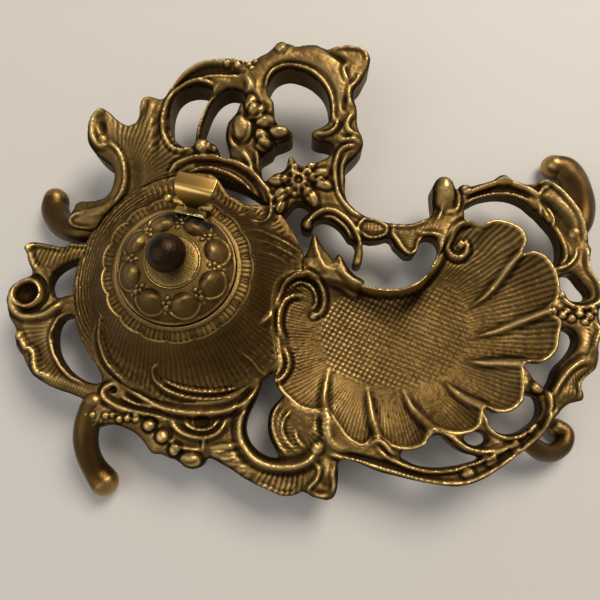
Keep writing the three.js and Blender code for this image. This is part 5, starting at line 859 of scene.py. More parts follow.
def dishLines(z, win, dx, dy, angle, radius, rimReach):
    # ribs between the lobes, fine lines over the lobes, and the hatched field in the middle
    hatch = smooth(outlineReach(hatchedField, angle) - radius, -1.5, 2.5)
    ribs = np.zeros(z.shape)
    for points in dishRibs:
        line = [(u, v, half / tray["length"]) for (u, v), half in zip(points, dish["ribHalves"])]
        place, across, distance, half, total = along(line, sheet["px"][win], sheet["py"][win])
        start = smooth(place, 0, 6)
        q = np.clip(distance / half, 0, 1)
        z = z + dish["ribHeight"] * (1 - q) ** 0.9 * (0.25 + 0.75 * start)
        z = z - dish["ribHollow"] * bell(distance / half, 1.5, 0.45) * start
        ribs = np.maximum(ribs, smooth(half - distance, -0.3, 0.6))
    # the lines spread from a point left of the middle, as they do on a scallop shell
    fanX, fanY = dx - dish["lineCentre"][0], dy - dish["lineCentre"][1]
    turn = np.arctan2(fanY, fanX) / (2 * math.pi)
    line = wave(turn * dish["lines"] + 0.4 * sheet["wobble"][win])
    shown = (1 - hatch) * smooth(np.hypot(fanX, fanY), 16, 24) * smooth(rimReach, 0.9, 2.2)
    z = z - dish["lineDepth"] * (1 - scallop(line)) * (1 - ribs) * shown
    grains = 1
    for t in np.radians(dish["hatchTurns"]):
        row = (dy * math.cos(t) - dx * math.sin(t)) / dish["hatchPitch"]
        grains = grains * (1 - wave(row + 0.12 * sheet["wobble"][win]) ** 4)
    return z + hatch * (1 - ribs) * dish["hatchHeight"] * (grains - 0.5)


def layDish():
    win = window(*dish["part"])
    dx = sheet["px"][win] - dish["centre"][0] * tray["length"]
    dy = sheet["py"][win] - dish["centre"][1] * tray["depth"]
    angle, radius = np.arctan2(dy, dx), np.hypot(dx, dy)
    rim = outlineReach(dish["rim"], angle)
    # true distance to the rim from the field's slope, near the rim only
    gy, gx = np.gradient(rim - radius, sheet["grid"])
    gap = rim - radius
    rimReach = np.where(gap > 8, 0.6 * gap, gap / np.maximum(np.hypot(gx, gy), 1))
    bare = bowl(angle, radius, rim, rimReach)
    z = dishLines(bare, win, dx, dy, angle, radius, rimReach)
    sheet["dish"] = np.full(sheet["px"].shape, away)
    sheet["dish"][win] = rimReach
    sheet["underDish"] = np.zeros(sheet["px"].shape)
    sheet["underDish"][win] = bare - dish["wall"]
    clearInside(sheet["dish"] - 0.2)
    z = z + dish["lip"] * bell(rimReach, 1.0, 0.7)
    for field, share in (("top", 1), ("plain", 0.6)):
        laid = softMax(sheet[field][win], z - share * edgeDrop(rimReach, 0.9), 0.3)
        sheet[field][win] = np.where(rimReach > -1.5, laid, sheet[field][win])
    sheet["reach"][win] = np.maximum(sheet["reach"][win], rimReach)


dish["rim"] = closedCurve(dishRim) / (tray["length"], tray["depth"])
layDish()

# smooth pointed leaf at the back left, that spreads over the rim, and the blunt end of the hook
backLeaf = outlineField([
    (0.468, 0.49), (0.482, 0.513), (0.494, 0.53), (0.502, 0.545), (0.507, 0.563), (0.511, 0.583),
    (0.516, 0.585), (0.523, 0.568), (0.532, 0.55), (0.542, 0.534), (0.548, 0.525), (0.552, 0.535),
    (0.557, 0.54), (0.563, 0.53), (0.57, 0.513), (0.582, 0.495), (0.6, 0.478), (0.585, 0.466),
    (0.56, 0.478), (0.53, 0.485), (0.5, 0.485),
])
z = sheet["level"] - 0.4 + 0.9 * smooth(backLeaf, 0, 5)
lay(everywhere, backLeaf, z, edgeDrop(backLeaf, 1.2), k=1.2)
crest([(0.514, 0.58), (0.518, 0.55), (0.527, 0.52), (0.54, 0.495)], 1.6, 0.7, dip=0)
crest([(0.557, 0.535), (0.562, 0.515), (0.575, 0.493)], 1.1, 0.5, dip=0)
strand([(0.592, 0.56, 1.2), (0.591, 0.54, 1.68), (0.588, 0.521, 1.8)])
swell([(0.455, 0.48), (0.5, 0.51), (0.535, 0.505)], 4, 0.8)
crest([(0.47, 0.53), (0.485, 0.515), (0.5, 0.5), (0.515, 0.49)], 1.1, 1.1, dip=0.4)
crest([(0.46, 0.545), (0.478, 0.53), (0.495, 0.512)], 1.0, 0.9, dip=0.4)
# thick smooth lip round the open C at the back
crest([(0.556, 0.512), (0.568, 0.492), (0.585, 0.475), (0.605, 0.464), (0.63, 0.457), (0.66, 0.457),
       (0.688, 0.468), (0.71, 0.49), (0.727, 0.517), (0.74, 0.55)], 1.6, 1.5, dip=0.5)
# volute at the back right
crest([(0.815, 0.603), (0.8, 0.605), (0.785, 0.607), (0.77, 0.603), (0.757, 0.59), (0.75, 0.572),
       (0.745, 0.555), (0.75, 0.542), (0.76, 0.535), (0.772, 0.537), (0.78, 0.55), (0.777, 0.561),
       (0.768, 0.563)], 1.4, 1.5, dip=0.7)
bead(0.768, 0.561, 1.5, 0.8, moat=0.3)
# scrolls at the left, beside the well
swell([(0.458, 0.45), (0.454, 0.41), (0.455, 0.37), (0.461, 0.34)], 2.2, 0.8)
crest([(0.456, 0.45), (0.463, 0.473), (0.477, 0.488), (0.495, 0.494), (0.514, 0.487), (0.528, 0.466),
       (0.532, 0.44), (0.525, 0.416), (0.512, 0.406)], 1.3, 1.6, dip=0.6)
crest([(0.474, 0.468), (0.49, 0.477), (0.507, 0.471), (0.516, 0.455), (0.517, 0.435),
       (0.51, 0.42)], 0.8, 1.0, dip=0.4)
crest([(0.497, 0.447), (0.482, 0.449), (0.468, 0.44), (0.459, 0.42), (0.455, 0.395), (0.457, 0.37),
       (0.465, 0.35)], 1.3, 1.6, dip=0.6)
bead(0.513, 0.408, 1.7, 0.9, moat=0.3)
crest([(0.464, 0.335), (0.47, 0.318), (0.472, 0.3), (0.466, 0.28), (0.455, 0.266),
       (0.444, 0.262)], 1.2, 1.5, dip=0.5)
bead(0.443, 0.265, 2.2, 1.4, moat=0.4)
flutes([(0.462, 0.355), (0.474, 0.33), (0.478, 0.3), (0.476, 0.27)], 3.4, 1.7, 0.5, slant=0.5)
print("dish")

# the well's skirt covers what runs under it
fromWell = np.hypot(sheet["px"] - well["x"], sheet["py"] - well["y"])
clearInside(np.where(sheet["dish"] > -0.5, -1, well["foot"] - 0.8 - fromWell))


# from the sheet to meshes

def nameMesh(name, verts, faces, wearAndHighlight=None):
    # takes the tray's own mm, and stays inside the solids' box
    data = bpy.data.meshes.new(name)
    verts = np.clip(verts * mm + np.array(corner), cadBox[0], cadBox[1])
    data.from_pydata([tuple(v) for v in verts], [], [tuple(int(i) for i in f) for f in faces])
    data.validate()
    if wearAndHighlight is not None:
        addLayer(data, "wearAndHighlight", wearAndHighlight)
    ob = bpy.data.objects.new(name, data)
    bpy.context.scene.collection.objects.link(ob)
    return ob


def addLayer(data, name, values):
    layer = data.attributes.get(name) or data.attributes.new(name, "FLOAT", "POINT")
    layer.data.foreach_set("value", np.asarray(values, np.float32))


def readPoints(data, what="co"):
    values = np.empty(len(data.vertices) * 3)
    data.vertices.foreach_get(what, values)
    return values.reshape(-1, 3)


def solo(ob):
    bpy.ops.object.select_all(action="DESELECT")
    ob.select_set(True)
    bpy.context.view_layer.objects.active = ob


def outward(ob):
    solo(ob)
    bpy.ops.object.mode_set(mode="EDIT")
    bpy.ops.mesh.select_all(action="SELECT")
    bpy.ops.mesh.normals_make_consistent(inside=False)
    bpy.ops.object.mode_set(mode="OBJECT")


def wearOfMesh(ob, rounds, gain, base):
    # how far a point stands out of its surroundings, along its normal
    co, normal = readPoints(ob.data) / mm, readPoints(ob.data, "normal")
    n = len(co)
    ends = np.empty(len(ob.data.edges) * 2, int)
    ob.data.edges.foreach_get("vertices", ends)
    a, b = ends.reshape(-1, 2).T
    many = np.maximum(np.bincount(a, minlength=n) + np.bincount(b, minlength=n), 1)
    p = co.copy()
    for turn in range(rounds):
        near = np.stack([np.bincount(a, p[b, k], n) + np.bincount(b, p[a, k], n) for k in range(3)], 1)
        p = 0.4 * p + 0.6 * near / many[:, None]
    addLayer(ob.data, "wearAndHighlight", np.clip(base + gain * ((co - p) * normal).sum(1), 0, 1))


def finishPiece(ob, material, replaced, body="stand", angle=40):
    solo(ob)
    bpy.ops.object.shade_smooth_by_angle(angle=math.radians(angle))
    ob.data.materials.append(material)
    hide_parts(replaced)
    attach(ob, body)
    print(ob.name, len(ob.data.polygons))


def sheetAt(field, x, y):
    # bilinear look up of a field of the sheet
    i, j = (x - sheet["x"][0]) / sheet["grid"], (y - sheet["y"][0]) / sheet["grid"]
    i0 = np.clip(i.astype(int), 0, len(sheet["x"]) - 2)
    j0 = np.clip(j.astype(int), 0, len(sheet["y"]) - 2)
    s, t = i - i0, j - j0
    low = field[j0, i0] * (1 - s) + field[j0, i0 + 1] * s
    high = field[j0 + 1, i0] * (1 - s) + field[j0 + 1, i0 + 1] * s
    return low * (1 - t) + high * t


# materials

# size of each pattern, and height of the bumps, in mm
pattern = {"grime": 1000 / 60, "grain": 1 / 1.4, "waves": 6.0, "bumps": 0.3}
# where the three tones lie between hollow and ridge, and how much rougher the hollows are
tones = {"dark": 0.08, "mid": 0.48, "bright": 0.92, "rougher": 0.22}


def linear(code):
    c = [int(code[i:i + 2], 16) / 255 for i in (1, 3, 5)]
    return tuple(x / 12.92 if x <= 0.04045 else ((x + 0.055) / 1.055) ** 2.4 for x in c) + (1,)


def addNode(tree, kind, links=(), **values):
    node = tree.nodes.new(kind)
    for key, value in values.items():
        setattr(node, key, value)
    for socket, source in links:
        if isinstance(source, (int, float, tuple)):
            node.inputs[socket].default_value = source
        else:
            tree.links.new(source, node.inputs[socket])
    return node


def newMaterial(name):
    material = bpy.data.materials.new(name)
    material.use_nodes = True
    tree = material.node_tree
    return material, tree, tree.nodes["Principled BSDF"]


def placeOf(tree):
    coords = addNode(tree, "ShaderNodeTexCoord")
    return addNode(tree, "ShaderNodeMapping", [("Vector", coords.outputs["Object"])]).outputs[0]


def noise(tree, place, size, detail):
    links = [("Vector", place), ("Scale", 1000 / size), ("Detail", detail)]
    return addNode(tree, "ShaderNodeTexNoise", links).outputs[0]


def calc(tree, operation, *values):
    return addNode(tree, "ShaderNodeMath", list(enumerate(values)), operation=operation).outputs[0]


def mapRange(tree, value, low, high, toLow, toHigh):
    links = [("Value", value), ("From Min", low), ("From Max", high), ("To Min", toLow), ("To Max", toHigh)]
    return addNode(tree, "ShaderNodeMapRange", links).outputs[0]


def mixColour(tree, share, first, second):
    # a colour mix has its colours at sockets 6 and 7
    links = [("Factor", share), (6, first), (7, second)]
    return addNode(tree, "ShaderNodeMix", links, data_type="RGBA").outputs[2]


def bumpBy(tree, shader, height, strength):
    links = [("Height", height), ("Strength", strength), ("Distance", pattern["bumps"] * mm)]
    tree.links.new(addNode(tree, "ShaderNodeBump", links).outputs[0], shader.inputs["Normal"])


def brassMaterial(name, dark, mid, bright, roughness, layered=True, stain=None, bump=0.6):
    # dark in the hollows and bright where it is rubbed, by the wear layer or by the mesh's own edges; on the
    # thumb tab that layer holds a painted highlight along its fold
    material, tree, shader = newMaterial(name)
    place = placeOf(tree)
    grime = noise(tree, place, pattern["grime"], 6.0)
    grain = noise(tree, place, pattern["grain"], 4.0)
    if layered:
        wearAndHighlight = addNode(tree, "ShaderNodeAttribute", attribute_name="wearAndHighlight").outputs["Fac"]
    else:
        edges = addNode(tree, "ShaderNodeNewGeometry").outputs["Pointiness"]
        wearAndHighlight = mapRange(tree, edges, 0.45, 0.58, 0.2, 0.9)
    patchy = calc(tree, "MULTIPLY", calc(tree, "SUBTRACT", grime, 0.5), 0.5)
    total = calc(tree, "ADD", wearAndHighlight, patchy)
    ramp = addNode(tree, "ShaderNodeValToRGB", [("Fac", total)])
    stops = ramp.color_ramp.elements
    stops[0].position, stops[0].color = tones["dark"], linear(dark)
    stops[1].position, stops[1].color = tones["bright"], linear(bright)
    stops.new(tones["mid"]).color = linear(mid)
    colour = ramp.outputs[0]
    if stain:
        mask = addNode(tree, "ShaderNodeAttribute", attribute_name="stain").outputs["Fac"]
        colour = mixColour(tree, mask, colour, linear(stain))
    tree.links.new(colour, shader.inputs["Base Color"])
    rough = mapRange(tree, total, 0.1, 0.9, roughness + tones["rougher"], roughness)
    tree.links.new(rough, shader.inputs["Roughness"])
    shader.inputs["Metallic"].default_value = 1
    bumpBy(tree, shader, grain, bump)
    return material


def glassMaterial():
    # pressed glass: slightly wavy and greenish, with dried ink low down
    material, tree, shader = newMaterial("pressed glass")
    shader.inputs["Transmission Weight"].default_value = 1
    shader.inputs["IOR"].default_value = 1.5
    shader.inputs["Roughness"].default_value = 0.05
    place = placeOf(tree)
    waves = noise(tree, place, pattern["waves"], 2.0)
    height = addNode(tree, "ShaderNodeSeparateXYZ", [(0, place)]).outputs["Z"]
    # the ink's line is ragged, between 30 and 34 mm above the desk
    ink = mapRange(tree, calc(tree, "MULTIPLY_ADD", waves, 6 * mm, height), 30 * mm, 34 * mm, 1.0, 0.0)
    tree.links.new(mixColour(tree, ink, linear("#dfeae6"), linear("#1c2638")), shader.inputs["Base Color"])
    bumpBy(tree, shader, waves, 0.2)
    return material


# cast brass, darkened in the hollows and rubbed on the ridges
agedBrass = brassMaterial("cast brass, aged", "#2a1e0f", "#664f2a", "#c0a064", 0.38)
# the same with the blue-grey flux that the solder left
solderedBrass = brassMaterial(
    "cast brass with soldering stains", "#2a1e0f", "#664f2a", "#c0a064", 0.34, stain="#2a2c2c")
# the cast feet: a darker tone than the tray, and smoother from handling
footBrass = brassMaterial("cast brass, handled smooth", "#20160a", "#563f20", "#b8945a", 0.27, bump=0.4)
# sheet brass: the tab, with a painted highlight along its fold, the pin, and the leaf under its flood of
# solder
foldedBrass = brassMaterial("folded sheet brass", "#2c1e0d", "#8a662c", "#dcb86c", 0.22, bump=0.1)
rubbedBrass = brassMaterial("rubbed sheet brass", "#3c2a10", "#8a672f", "#d2ad66", 0.3, layered=False)
solderedLeaf = brassMaterial("leaf flooded with solder", "#4a3c1e", "#a08c55", "#e8d9a4", 0.2, layered=False)
# turned brass, tarnished, and with a dark brown patina
plainBrass = brassMaterial("turned brass, tarnished", "#2a1e0e", "#6f5830", "#c9a860", 0.32, layered=False)
darkBronze = brassMaterial("patinated finial bronze", "#140d08", "#30231a", "#5c4836", 0.26, layered=False)
glass = glassMaterial()
print("materials")


# the casting, cut into its five pieces

inside = sheet["reach"] > 0
top = maskedBlur(sheet["top"] + sheet["grain"], inside, 0.6)
plain = maskedBlur(sheet["plain"], inside, 0.6)
# ridges are worn and hollows dark: gain for each mm above the surroundings, broad and fine
rubAndHighlight = {"flat": 0.44, "broad": 0.38 / 1.4, "fine": 0.34 / 0.35}
broad, fine = maskedBlur(plain, inside, 5.0), maskedBlur(plain, inside, 1.8)
sheet["wearAndHighlight"] = np.clip(rubAndHighlight["flat"] + rubAndHighlight["broad"] * (plain - broad) + rubAndHighlight["fine"] * (plain - fine), 0, 1)

# points just outside are pulled to the outline
pull = {"from": 1.8 * sheet["grid"], "most": 1.3 * sheet["grid"]}
gy, gx = np.gradient(blur(sheet["reach"], 0.7), sheet["grid"])
steep = np.maximum(np.hypot(gx, gy), 0.3)
near = (sheet["reach"] <= 0) & (sheet["reach"] > -pull["from"])
shift = np.clip(np.where(near, -sheet["reach"] / steep, 0), 0, pull["most"])
# and their height follows the nearest points inside
filled = blur(np.where(inside, top, 0), 1.0) / np.maximum(blur(inside.astype(float), 1.0), 1e-3)
moved = [sheet["px"] + shift * gx / steep, sheet["py"] + shift * gy / steep]
sheet["surface"] = np.stack(moved + [np.where(inside, top, filled - 0.3)], 2)

# underside: a plate of even thickness, thicker below the gallery, and the dish's own wall
u, v = sheet["px"] / tray["length"], sheet["py"] / tray["depth"]
thicker = smooth(v, 0.6, 0.75) * (1 - smooth(u, 0.7, 0.74))
under = sheet["level"] - tray["thick"] - (tray["galleryThick"] - tray["thick"]) * thicker
sheet["under"] = blur(np.where(sheet["dish"] > 0.5, sheet["underDish"], under), 2.0)

# parts of the plan that each piece takes, from u, v to u, v; the front border takes the rest
castPieces = {
    "dish": dict(node="tray_shell_dish", parts=[]),
    "gallery": dict(node="tray_back_gallery", parts=[(-1, 0.585, 0.716, 2), (0.25, 0.45, 0.716, 0.585)]),
    "leftBorder": dict(node="tray_left_scrolls", parts=[(-1, -1, 0.13, 0.585), (0.13, 0.24, 0.25, 0.585)]),
    "rightBorder": dict(node="tray_right_scrolls", parts=[(0.716, 0.385, 2, 2), (0.8, 0.235, 2, 0.385)]),
    "frontBorder": dict(node="tray_front_scrolls", parts=[]),
}


def cellsOf():
    # the sheet's cells that hold metal, and the number of the piece that each belongs to
    def quarters(a):
        return [a[:-1, :-1], a[1:, :-1], a[:-1, 1:], a[1:, 1:]]

    metal = np.any(quarters(inside), 0) & np.all(quarters(sheet["reach"] > -pull["from"]), 0)
    names = list(castPieces)
    u = (sheet["px"][:-1, :-1] + sheet["grid"] / 2) / tray["length"]
    v = (sheet["py"][:-1, :-1] + sheet["grid"] / 2) / tray["depth"]
    owner = np.full(u.shape, names.index("frontBorder"))
    for name, item in castPieces.items():
        for u0, v0, u1, v1 in item["parts"]:
            owner[(u > u0) & (u < u1) & (v > v0) & (v < v1)] = names.index(name)
    owner[sheet["dish"][:-1, :-1] > -0.4] = names.index("dish")
    return metal, owner


# walls of the casting: least height, rings down them (share of the height, wear), and wear underneath
walls = {"least": 1.2, "rings": ((0.12, 0.42), (0.5, 0.36), (0.9, 0.36)), "underWear": 0.2}


def castPiece(name, node, own):
    # relief above, underside below, and walls round the cells' outline
    j, i = np.nonzero(own)
    width = sheet["px"].shape[1]
    quads = np.stack([(j + dj) * width + i + di for dj, di in ((0, 0), (0, 1), (1, 1), (1, 0))], 1)
    used, quads = np.unique(quads, return_inverse=True)
    quads = quads.reshape(-1, 4)
    n = len(used)
    top = sheet["surface"].reshape(-1, 3)[used]
    bottom = top.copy()
    bottom[:, 2] = np.minimum(sheet["under"].ravel()[used], top[:, 2] - walls["least"])
    # an outline edge has a cell on one side only
    fringed = np.pad(own, 1)
    edges = []
    for k, (dj, di) in enumerate(((-1, 0), (0, 1), (1, 0), (0, -1))):
        free = ~fringed[j + 1 + dj, i + 1 + di]
        edges.append(quads[free][:, [k, (k + 1) % 4]])
    rim, ends = np.unique(np.vstack(edges), return_inverse=True)
    a, b = ends.reshape(-1, 2).T
    m = len(rim)
    verts, faces = [top, bottom], [quads, quads[:, ::-1] + n]
    wearAndHighlight = [sheet["wearAndHighlight"].ravel()[used], np.full(n, walls["underWear"])]
    rows = [rim]
    for k, (share, worn) in enumerate(walls["rings"]):
        verts.append(top[rim] * (1 - share) + bottom[rim] * share)
        wearAndHighlight.append(np.full(m, worn))
        rows.append(2 * n + k * m + np.arange(m))
    rows.append(rim + n)
    for upper, lower in zip(rows, rows[1:]):
        faces.append(np.stack([upper[b], upper[a], lower[a], lower[b]], 1))
    ob = nameMesh(name, np.vstack(verts), np.vstack(faces), np.concatenate(wearAndHighlight))
    finishPiece(ob, agedBrass, node, angle=50)


metal, owner = cellsOf()
for k, (name, item) in enumerate(castPieces.items()):
    castPiece(name, item["node"], metal & (owner == k))


# turned pieces: a profile of radius and level, spun round the well's axis

def spunPiece(name, outside, steps, spacing, inside=(), insideSpacing=None):
    p = np.array(list(outside) + list(inside), float)
    gaps = [spacing] * len(outside) + [insideSpacing or spacing] * len(inside)
    rows = []
    for a, b, gap in zip(p, np.roll(p, -1, 0), gaps):
        alongAxis = a[0] == 0 and b[0] == 0
        n = 1 if alongAxis else max(1, int(round(np.hypot(*(b - a)) / gap)))
        rows.append(a + (b - a) * (np.arange(n) / n)[:, None])
    p = np.vstack(rows)
    turn = np.arange(steps) * 2 * math.pi / steps
    verts, rings, count = [], [], 0
    for r, z in p:
        many = steps if r > 0 else 1        # on the axis a ring is one point
        x, y = fromAxis(r, turn[:many])
        verts.append(np.stack([x, y, np.full(many, z)], 1))
        rings.append(count + np.arange(steps) % many)
        count += many
    faces = []
    for a, b in zip(rings, rings[1:] + rings[:1]):
        quads = np.stack([a, b, np.roll(b, -1), np.roll(a, -1)], 1)
        if a[0] == a[1] and b[0] == b[1]:
            continue
        if a[0] == a[1]:
            quads = quads[:, :3]
        elif b[0] == b[1]:
            quads = quads[:, [0, 1, 3]]
        faces += quads.tolist()
    r, z = p.T
    if (r * np.roll(z, -1) - np.roll(r, -1) * z).sum() > 0:     # faces point out
        faces = [f[::-1] for f in faces]
    return nameMesh(name, np.vstack(verts), faces)


def aroundAxis(x, y):
    dx, dy = x - well["x"], y - well["y"]
    return np.hypot(dx, dy), np.arctan2(dy, dx)


def fromAxis(r, angle):
    return well["x"] + r * np.cos(angle), well["y"] + r * np.sin(angle)


def turnTo(angle, other):
    # how far apart two directions are
    return np.abs(np.angle(np.exp(1j * (angle - other))))


def levelAt(profile, r):
    rows = profile if profile[0][0] < profile[-1][0] else profile[::-1]
    return np.interp(r, *zip(*rows))


def shapeBy(ob, change):
    # change(x, y, z, up) in the tray's own mm; up is the upward part of the normal
    co = (readPoints(ob.data) - np.array(corner)) / mm
    co = np.stack(change(*co.T, readPoints(ob.data, "normal")[:, 2]), 1)
    ob.data.vertices.foreach_set("co", (co * mm + np.array(corner)).ravel())
    ob.data.update()


# the well's housing

housing = {
    "outside": [(48.4, 13.8), (48.4, 17.2), (48.1, 18.4), (47.4, 19.1), (46, 19.8), (44, 20.8), (41.6, 22.4),
                (38, 25.6), (34, 30.6), (30.5, 36), (28.2, 39.6), (26.6, 41.4), (24.6, 42)],
    "inside": [(24.3, 41.5), (24.3, 38), (26.5, 35), (33, 26.5), (38, 20.5), (44.5, 15.5), (45.2, 13.8)],
    "flutes": 120, "depth": 0.62,
    "lines": 1.6, "lineHeight": 0.22, "linesAt": math.radians(163),     # fine lines at the left
    "pinch": 0.38, "pinchAt": 1.09,     # drawn in where the tray is open beside it
    "base": 5,
    # smooth band between the fine lines and the flutes: u, v, half width over the tray's length
    "bare": [(0.15, 0.42, 0.01), (0.152, 0.38, 0.011), (0.157, 0.34, 0.012), (0.172, 0.3, 0.011),
             (0.2, 0.262, 0.01), (0.24, 0.235, 0.008)],
}
# ridges laid on it: height, then u, v and half width over the tray's length
housingRidges = [
    # arcs in front
    (1.7, [(0.266, 0.291, 0.003), (0.257, 0.283, 0.005), (0.258, 0.264, 0.006), (0.275, 0.245, 0.006),
           (0.3, 0.233, 0.006), (0.34, 0.227, 0.006), (0.39, 0.234, 0.006), (0.43, 0.255, 0.005)]),
    (1.2, [(0.272, 0.262, 0.003), (0.3, 0.248, 0.004), (0.34, 0.241, 0.004), (0.385, 0.248, 0.003)]),
    # at the left
    (1.7, [(0.17, 0.395, 0.004), (0.166, 0.372, 0.006), (0.162, 0.35, 0.007), (0.166, 0.325, 0.007),
           (0.175, 0.3, 0.006), (0.19, 0.28, 0.006), (0.205, 0.262, 0.005)]),
    # leaf at the right
    (2.5, [(0.402, 0.556, 0.006), (0.418, 0.569, 0.009), (0.442, 0.568, 0.01), (0.468, 0.556, 0.01),
           (0.495, 0.54, 0.008)]),
    (2.0, [(0.42, 0.546, 0.005), (0.445, 0.546, 0.007), (0.47, 0.536, 0.007), (0.49, 0.525, 0.006)]),
    (2.2, [(0.428, 0.52, 0.006), (0.452, 0.517, 0.008), (0.478, 0.507, 0.008)]),
    (1.7, [(0.425, 0.372, 0.004), (0.437, 0.383, 0.006), (0.447, 0.398, 0.007), (0.452, 0.415, 0.005)]),
    (1.7, [(0.395, 0.318, 0.004), (0.412, 0.303, 0.006), (0.425, 0.284, 0.007), (0.44, 0.27, 0.006)]),
    # end of the C behind
    (2.0, [(0.442, 0.665, 0.006), (0.441, 0.645, 0.007), (0.438, 0.622, 0.007), (0.43, 0.605, 0.006),
           (0.418, 0.598, 0.006), (0.408, 0.606, 0.004)]),
    (1.7, [(0.411, 0.655, 0.005), (0.407, 0.637, 0.006), (0.398, 0.628, 0.005), (0.389, 0.633, 0.004)]),
]


def housingRidgesAt(x, y):
    # height of the ridges, and how clear of them a point is
    height, clear = np.zeros(x.shape), np.ones(x.shape)
    for tall, rows in housingRidges:
        place, across, distance, half, total = along(rows, x, y)
        q = distance / half
        ridge = tall * bell(q, 0, 0.62) - 0.35 * bell(q, 1.55, 0.4)
        height = height + np.where(q < 2.6, ridge * endsOf(place, total, half, (1, 1)), 0)
        clear = clear * (1 - np.exp(-(q / 1.1) ** 4))
    return height, clear


def housingRelief(x, y, z, up):
    r, angle = aroundAxis(x, y)
    # it climbs with the tray behind the well
    z = z + (trayLevel(x / tray["length"], y / tray["depth"]) - tray["level"]) * smooth(r, 38, 47)
    # deep flutes run straight down in front, fine lines follow the rim at the left
    left = 1 - smooth(turnTo(angle, housing["linesAt"]), 0.72, 0.95)
    distance, half = along(housing["bare"], x, y)[2:4]
    covered = 1 - smooth(half - distance, -1, 1)
    ridges, clear = housingRidgesAt(x, y)
    w = wave(angle * housing["flutes"] / (2 * math.pi) + 0.3 * sheetAt(sheet["wobble"], x, y))
    band = smooth(r, 27, 29) * (1 - smooth(r, 44, 46.5)) * (1 - left) * covered * clear
    lines = np.cos(2 * math.pi * (r + 4 * angle + 0.5 * np.sin(7 * angle)) / housing["lines"])
    lines = lines * left * covered * smooth(r, 30, 34) * (1 - smooth(r, 46, 48))
    relief = housing["lineHeight"] * lines - housing["depth"] * (1 - scallop(w)) * band
    outer = (up > 0.03) | (r > 46)
    z = z + np.where(outer, ridges + relief + sheetAt(sheet["grain"], x, y), 0)
    waist = well["topRadius"] + 3
    pinch = housing["pinch"] * (1 - smooth(turnTo(angle, housing["pinchAt"]), 0.07, 0.34))
    x, y = fromAxis(np.where(r > waist, r - pinch * (r - waist), r), angle)
    # it runs on under the dish
    low = np.minimum(sheetAt(sheet["underDish"], x, y) - 0.4, 17)
    low = np.where(low < 4, 12, low)
    sunk = np.maximum(levelAt(housing["outside"], r) + 0.6 - low, 0)
    z = z - smooth(sheetAt(sheet["dish"], x, y), -0.6, 0.4) * sunk
    return x, y, np.maximum(z, housing["base"])


ob = spunPiece("housing", housing["outside"], 960, 0.5, housing["inside"], 2.0)
shapeBy(ob, housingRelief)
wearOfMesh(ob, 10, 1.1, 0.42)
finishPiece(ob, agedBrass, "tray_well_housing")


# the scalloped collar round its mouth

collar = {
    "lobes": 17, "lobe": 1.15, "flutes": 2.5, "flute": 0.5,
    "from": 22.4, "to": 26.4,       # radii of the scalloped leaf
    "profile": [(21.75, 42.6), (21.75, 45.5), (21.95, 45.85), (22.4, 45.95), (23.2, 45.75), (23.6, 45.3),
                (24.6, 44.9), (25.9, 44.35), (26.35, 44.5), (26.7, 44.7), (27.0, 44.4), (27.0, 43.9),
                (26.6, 43.2), (25.6, 42.5), (24.1, 42.3), (24.1, 41), (19.6, 41), (19.6, 42.6)],
}


def collarRelief(x, y, z, up):
    r, angle = aroundAxis(x, y)
    lobe = wave(angle * collar["lobes"] / (2 * math.pi) + 0.5)      # 0 in the middle of a lobe
    out = smooth(r, collar["from"], collar["to"])
    leaf = r > collar["from"]
    onTop = (up > 0.2) & (r > 22) & (r < collar["to"])
    flute = collar["flute"] * (1 - scallop(wave(lobe * collar["flutes"]), 0.97))
    flute = flute * smooth(r, 23.1, 23.9) * (1 - smooth(r, 25.8, collar["to"]))
    z = z - np.where(onTop, flute, 0)
    z = z + np.where(leaf & (up > -0.3), (1.0 * (1 - lobe ** 2) - 0.5) * out, 0)
    r = r + np.where(leaf, collar["lobe"] * (scallop(lobe, 0.96) - 0.25) * out, 0)
    return *fromAxis(r, angle), z


ob = spunPiece("collar", collar["profile"], 714, 0.32)
shapeBy(ob, collarRelief)
wearOfMesh(ob, 10, 1.1, 0.42)
finishPiece(ob, agedBrass, "well_collar")


# the embossed lid

lid = {
    "outside": [(0, 52.9), (9.6, 52.9), (10.6, 52.9), (12, 52.75), (14.5, 52.1), (17, 50.7), (19, 48.9),
                (20, 47.8), (20.5, 47.4), (21, 47.55), (21.45, 47.3), (21.6, 46.9), (21.5, 46.4)],
    "inside": [(20.6, 46.35), (20, 46.9), (18, 48.6), (15.5, 50.2), (12.5, 51.4), (9.5, 51.6), (0, 51.6)],
    "eggs": 8, "turn": math.radians(16.5), "centre": 15.8, "long": 4.3, "wide": 4.9, "height": 2.7,
    # flower buds between the eggs: radius, place beside the middle, size
    "buds": [(13.2, 0.2, 0.85), (14.9, 0.95, 0.75), (15.1, -1.0, 0.7), (16.5, 0.1, 1.0), (18.2, -0.3, 0.7)],
    # flux stains beside the hinge: place on the tray in mm, radius
    "stains": [((70.4, 106.6), 2.4), ((73.4, 104.9), 2.0), ((84.2, 103.2), 2.4), ((81.0, 103.0), 1.8),
               ((77.2, 104.0), 1.4)],
}


def repeated(r, angle, offset):
    # the place on the lid in its nearest repeat: out from the axis, and beside the repeat's middle
    step = 2 * math.pi / lid["eggs"]
    k = np.round((angle - lid["turn"]) / step - offset) + offset
    local = angle - lid["turn"] - k * step
    return r * np.cos(local), r * np.sin(local)


